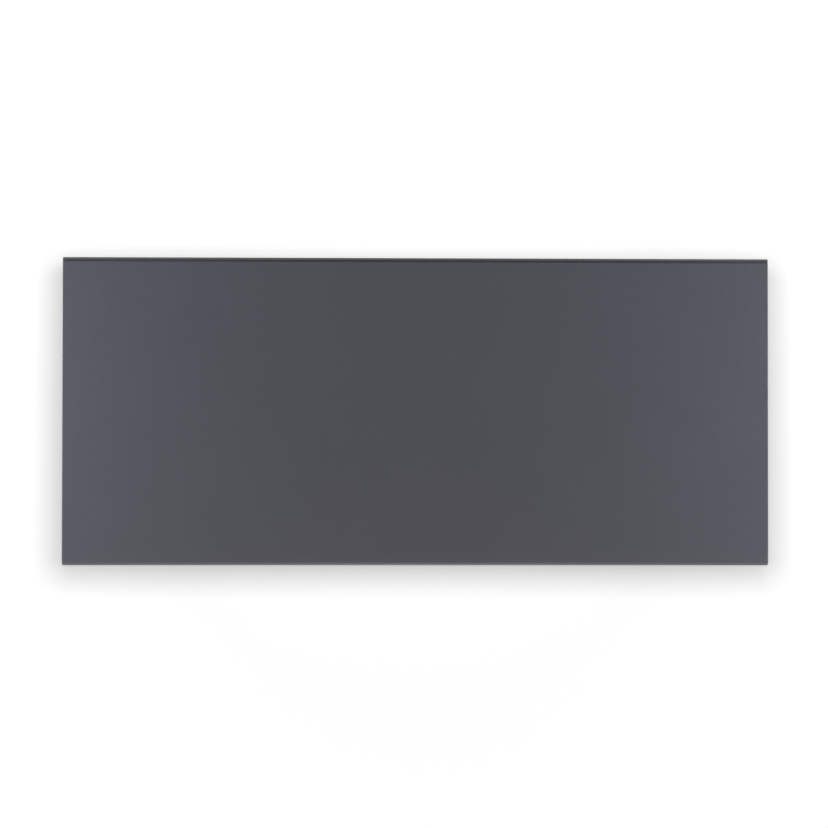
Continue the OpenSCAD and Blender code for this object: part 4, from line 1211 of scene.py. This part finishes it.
class HEATER_OT_buttons(Operator):
    """Make the four push buttons with their printed signs"""

    bl_idname = "heater.buttons"
    bl_label = "Push buttons"

    def execute(self, context):
        sizes = context.scene.heater_sizes
        first = button_cap(sizes)
        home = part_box("button_power")[0]
        for name in reversed(BUTTONS):
            node = "button_" + name
            low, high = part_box(node)
            cap = twin(first, "cap_" + name, low - home) if name != "power" else first
            cap.name = "cap_" + name
            replace(cap, node)
            face = over(low, high, high.z - sizes.button_dish)
            sign = join(SIGNS[name](face), "sign_" + name)
            hand_over(sign, BODIES[node], "light_pipe", finish="printed_ink")
            dress("plunger_" + name)
        return {"FINISHED"}


# Mains switch


ROCKER_REACH = 8.8 * MM
ROCKER_CROWN = 3 * MM


def rocker_body(pivot, lean, width):
    """The rocker: a block with its face folded over the pivot, its ends round and its edges soft."""
    foot = 3.4 * MM
    face = ROCKER_CROWN + ROCKER_REACH * math.tan(lean)
    half = Vector((0, width / 2, ROCKER_REACH))
    piece = block(
        "rocker", pivot - half - Vector((foot, 0, 0)), pivot + half + Vector((face, 0, 0))
    )
    with editing(piece):
        bpy.ops.mesh.select_all(action="SELECT")
        bpy.ops.mesh.bisect(plane_co=pivot, plane_no=(0, 0, 1))
        pick(
            "edges",
            lambda edge: abs(middle(edge).z - pivot.z) < NEAR
            and middle(edge).x > pivot.x + ROCKER_CROWN and runs_along(edge, 1),
        )
        bpy.ops.transform.translate(value=(ROCKER_CROWN - face, 0, 0))
    aside = Vector((0, width, 0))
    ends = bar("ends", ROCKER_REACH, pivot - aside, pivot + aside, sides=96)
    carve(piece, ends, operation="INTERSECT")
    soften(piece, 0.45 * MM, segments=3)
    return piece


def rocker_marks(pivot, lean):
    """Line for on and ring for off, printed on the rocker's two faces."""
    thick = 0.04 * MM
    line = stroke("marks", Vector(), 2.4 * MM, 0.6 * MM, thick)
    circle = hoop("marks", 1.2 * MM, 0.5 * MM, thick, (0, 0, 0))
    away = 0.55 * ROCKER_REACH
    for part, side in ((line, 1), (circle, -1)):
        tilt(part, math.pi / 2 + side * lean, "Y", (0, 0, 0))
        shift(part, pivot + Vector((ROCKER_CROWN + away * math.tan(lean), 0, side * away)))
    return join([line, circle], "switch_marks")


class HEATER_OT_mains_switch(Operator):
    """Make the recessed mains switch and its rocker"""

    bl_idname = "heater.mains_switch"
    bl_label = "Mains switch"

    def execute(self, context):
        stand_in("mains_switch_housing", "switch_housing", 0.3 * MM)
        joint = JOINTS["rock_mains"]
        pivot = Vector(joint["pos_m"])
        lean = math.radians(joint["range_deg"][1]) / 2
        low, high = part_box("mains_rocker")
        piece = rocker_body(pivot, lean, high.y - low.y - 3 * MM)
        pins = bar("pins", 1.25 * MM, (pivot.x, low.y, pivot.z), (pivot.x, high.y, pivot.z))
        carve(piece, pins, operation="UNION")
        marks = rocker_marks(pivot, lean)
        for part in (piece, marks):
            tilt(part, lean, "Y", pivot)
        replace(piece, "mains_rocker")
        hand_over(marks, "rocker", "light_pipe", finish="printed_ink")
        return {"FINISHED"}


# Wall bracket, fasteners and inner parts


class HEATER_OT_wall_bracket(Operator):
    """Make the hook bracket on the wall"""

    bl_idname = "heater.wall_bracket"
    bl_label = "Wall bracket"

    def execute(self, context):
        for side in ("left", "right"):
            stand_in("bracket_upright_" + side, "upright_" + side, 0.4 * MM)
        for level in ("top", "bottom"):
            stand_in("bracket_rail_" + level, "rail_" + level, 0.4 * MM)
        stand_in("bracket_rivets", "rivets", 0.6 * MM)
        return {"FINISHED"}


class HEATER_OT_fasteners(Operator):
    """Make the screws"""

    bl_idname = "heater.fasteners"
    bl_label = "Screws"

    def execute(self, context):
        stand_in("casing_screws", "back_screws", 0.3 * MM)
        stand_in("inner_screws", "panel_screws", 0.3 * MM)
        return {"FINISHED"}


class HEATER_OT_inner_parts(Operator):
    """Give the heating elements, the electronics and the wiring their finishes"""

    bl_idname = "heater.inner_parts"
    bl_label = "Inner parts"

    def execute(self, context):
        stand_in("element_fins", "heating_fins", 0.3 * MM)
        dress(*[node for node in SLOTS if not NODES[node].hide_render])
        return {"FINISHED"}


# Studio


def softbox(name, spot, aim, size, watts, lit, mirrored=False):
    """Soft light at a spot, facing a point, lighting one group and hidden from mirrors or not."""
    light = bpy.data.lights.new(name, "AREA")
    light.shape = "RECTANGLE"
    light.size, light.size_y = size
    light.energy = watts
    lamp = bpy.data.objects.new(name, light)
    bpy.context.scene.collection.objects.link(lamp)
    lamp.location = spot
    lamp.rotation_euler = (Vector(aim) - Vector(spot)).to_track_quat("-Z", "Y").to_euler()
    lamp.visible_camera = False
    lamp.visible_glossy = mirrored
    lamp.light_linking.receiver_collection = lit
    return lamp


def lit_group(name, backdrop, state):
    """Group for light linking that takes the backdrop in, or leaves only the backdrop out."""
    group = bpy.data.collections.new(name)
    group.objects.link(backdrop)
    group.collection_objects[0].light_linking.link_state = state
    return group


def seen_by_camera(tree):
    """One for camera, glossy and transmission rays, and nought for light that is scattered."""
    path = add(tree, "LightPath")
    seen = path.outputs["Is Camera Ray"]
    for ray in ("Is Glossy Ray", "Is Transmission Ray"):
        seen = add(tree, "Math", {0: seen, 1: path.outputs[ray]}, operation="MAXIMUM").outputs[0]
    return seen


def white_surroundings(studio):
    """White to the camera and in reflections, and a softer even light on the object."""
    world = bpy.data.worlds.new("white_surroundings")
    bpy.context.scene.world = world
    world.use_nodes = True
    tree = world.node_tree
    strength = add(tree, "MapRange", {
        "Value": seen_by_camera(tree), "To Min": studio.ambient, "To Max": 1.0,
    })
    background = tree.nodes["Background"]
    background.inputs["Color"].default_value = (1, 1, 1, 1)
    tree.links.new(strength.outputs["Result"], background.inputs["Strength"])


def wall_paint(studio):
    """White paint that catches the shadow, is seen only from its front and stops no light."""
    made, tree, shader, place = shader_of("wall_paint", linear("#f3f3f3"), 0.9, Specular_IOR_Level=0.0)
    mottle(tree, shader, noise(tree, place, 400, 1), 0.995, 1.0)
    # the glow grows outwards as the wall light falls off, which keeps the white even
    near = 0.35
    far = 1.6
    away = add(tree, "VectorMath", {0: place}, operation="LENGTH").outputs["Value"]
    glow = add(tree, "MapRange", {
        "Value": away, "From Min": near, "From Max": far, "To Min": studio.wall_glow,
        "To Max": studio.far_glow,
    })
    shader.inputs["Emission Color"].default_value = (1, 1, 1, 1)
    tree.links.new(glow.outputs["Result"], shader.inputs["Emission Strength"])
    path = add(tree, "LightPath").outputs["Is Camera Ray"]
    behind = add(tree, "NewGeometry").outputs["Backfacing"]
    shown = add(tree, "Math", {0: path, 1: behind}, operation="SUBTRACT").outputs[0]
    clear = add(tree, "BsdfTransparent")
    mixed = add(tree, "MixShader", {0: shown, 1: clear.outputs[0], 2: shader.outputs[0]})
    tree.links.new(mixed.outputs[0], tree.nodes["Material Output"].inputs["Surface"])
    return made


def backdrop(studio):
    """Floor with a wall standing on its middle line, against which the heater hangs."""
    reach = 8
    tall = 3
    wall_y = 0.5 * MM
    bpy.ops.object.select_all(action="DESELECT")
    bpy.ops.mesh.primitive_plane_add(size=reach, location=(0, 0, -studio.floor_drop))
    room = settle(bpy.context.object, "wall_and_floor")
    with editing(room):
        bpy.ops.mesh.select_all(action="SELECT")
        bpy.ops.mesh.bisect(plane_co=(0, wall_y, 0), plane_no=(0, 1, 0))
        pick("edges", lambda edge: abs(middle(edge).y - wall_y) < NEAR and runs_along(edge, 0))
        bpy.ops.mesh.extrude_region_move(TRANSFORM_OT_translate={"value": (0, 0, tall)})
        pick("faces", lambda face: face.normal.z < -0.5 or face.normal.y > 0.5)
        bpy.ops.mesh.flip_normals()
    room.data.materials.append(wall_paint(studio))
    return room


def camera(studio):
    """Camera that faces the heater as the photograph does."""
    view = bpy.data.cameras.new("camera")
    view.sensor_width = 36
    view.lens = view.sensor_width / 2 / math.tan(studio.view_angle / 2)
    eye = bpy.data.objects.new("camera", view)
    bpy.context.scene.collection.objects.link(eye)
    aim = Vector((studio.aim_x, CAD_BOX[0].y, studio.aim_z))
    level = math.cos(studio.elevation)
    back = Vector((
        math.sin(studio.azimuth) * level, -math.cos(studio.azimuth) * level, math.sin(studio.elevation)
    ))
    eye.location = aim + studio.distance * back
    eye.rotation_euler = (-back).to_track_quat("-Z", "Y").to_euler()
    eye.rotation_euler.rotate_axis("Z", studio.roll)
    bpy.context.scene.camera = eye


class HEATER_OT_studio(Operator):
    """Set up the wall, the floor, the lights and the camera"""

    bl_idname = "heater.studio"
    bl_label = "Studio"

    def execute(self, context):
        studio = context.scene.heater_studio
        context.scene.view_settings.view_transform = "Standard"
        camera(studio)
        white_surroundings(studio)
        room = backdrop(studio)
        heater_only = lit_group("all_but_the_wall", room, "EXCLUDE")
        wall_only = lit_group("wall_alone", room, "INCLUDE")
        face = (0, CAD_BOX[0].y, 0)
        upright = (0.5, 0.9)
        level = (1.2, 0.4)
        for name, x in (("light_left", -0.8), ("light_right", 0.8)):
            softbox(name, (x, -0.42, 0), face, upright, studio.side_power, heater_only)
        softbox("light_top", (0, -0.4, 0.75), face, level, studio.top_power, heater_only, True)
        under = softbox(
            "light_under", (0, -0.15, -0.75), (0, -0.08, 0), (0.8, 0.2), studio.under_power, heater_only
        )
        under.data.color = studio.under_colour[:3]
        for name, x in (("light_back_left", -1.2), ("light_back_right", 1.2)):
            softbox(name, (x, 1.6, 0.6), (0, 0, 0), (1.2, 1.2), studio.back_power, heater_only)
        softbox("light_wall", (0, -1.56, 0.17), (0, 0, 0.17), (0.75, 0.8), studio.wall_power, wall_only)
        return {"FINISHED"}


STEPS = (
    HEATER_OT_front_sheet, HEATER_OT_top_cover, HEATER_OT_outlet_grille, HEATER_OT_controls,
    HEATER_OT_buttons, HEATER_OT_mains_switch, HEATER_OT_casing_back, HEATER_OT_wall_bracket,
    HEATER_OT_fasteners, HEATER_OT_inner_parts, HEATER_OT_studio,
)


class HEATER_PT_panel(Panel):
    """Steps that model the heater, in order, with their sizes and colours"""

    bl_idname = "HEATER_PT_panel"
    bl_label = "Panel heater"
    bl_space_type = "VIEW_3D"
    bl_region_type = "UI"
    bl_category = "Heater"

    def draw(self, context):
        for step in STEPS:
            self.layout.operator(step.bl_idname)
        scene = context.scene
        for group in (scene.heater_sizes, scene.heater_colours, scene.heater_studio):
            box = self.layout.box()
            for name in group.bl_rna.properties.keys():
                if name not in ("rna_type", "name"):
                    box.prop(group, name)


CLASSES = (HeaterSizes, HeaterColours, HeaterStudio, *STEPS, HEATER_PT_panel)


def register():
    for cls in CLASSES:
        bpy.utils.register_class(cls)
    bpy.types.Scene.heater_sizes = PointerProperty(type=HeaterSizes)
    bpy.types.Scene.heater_colours = PointerProperty(type=HeaterColours)
    bpy.types.Scene.heater_studio = PointerProperty(type=HeaterStudio)


def unregister():
    for name in ("heater_sizes", "heater_colours", "heater_studio"):
        delattr(bpy.types.Scene, name)
    for cls in reversed(CLASSES):
        bpy.utils.unregister_class(cls)


def main():
    register()
    for step in STEPS:
        group, name = step.bl_idname.split(".")
        getattr(getattr(bpy.ops, group), name)()


if __name__ == "__main__":
    main()
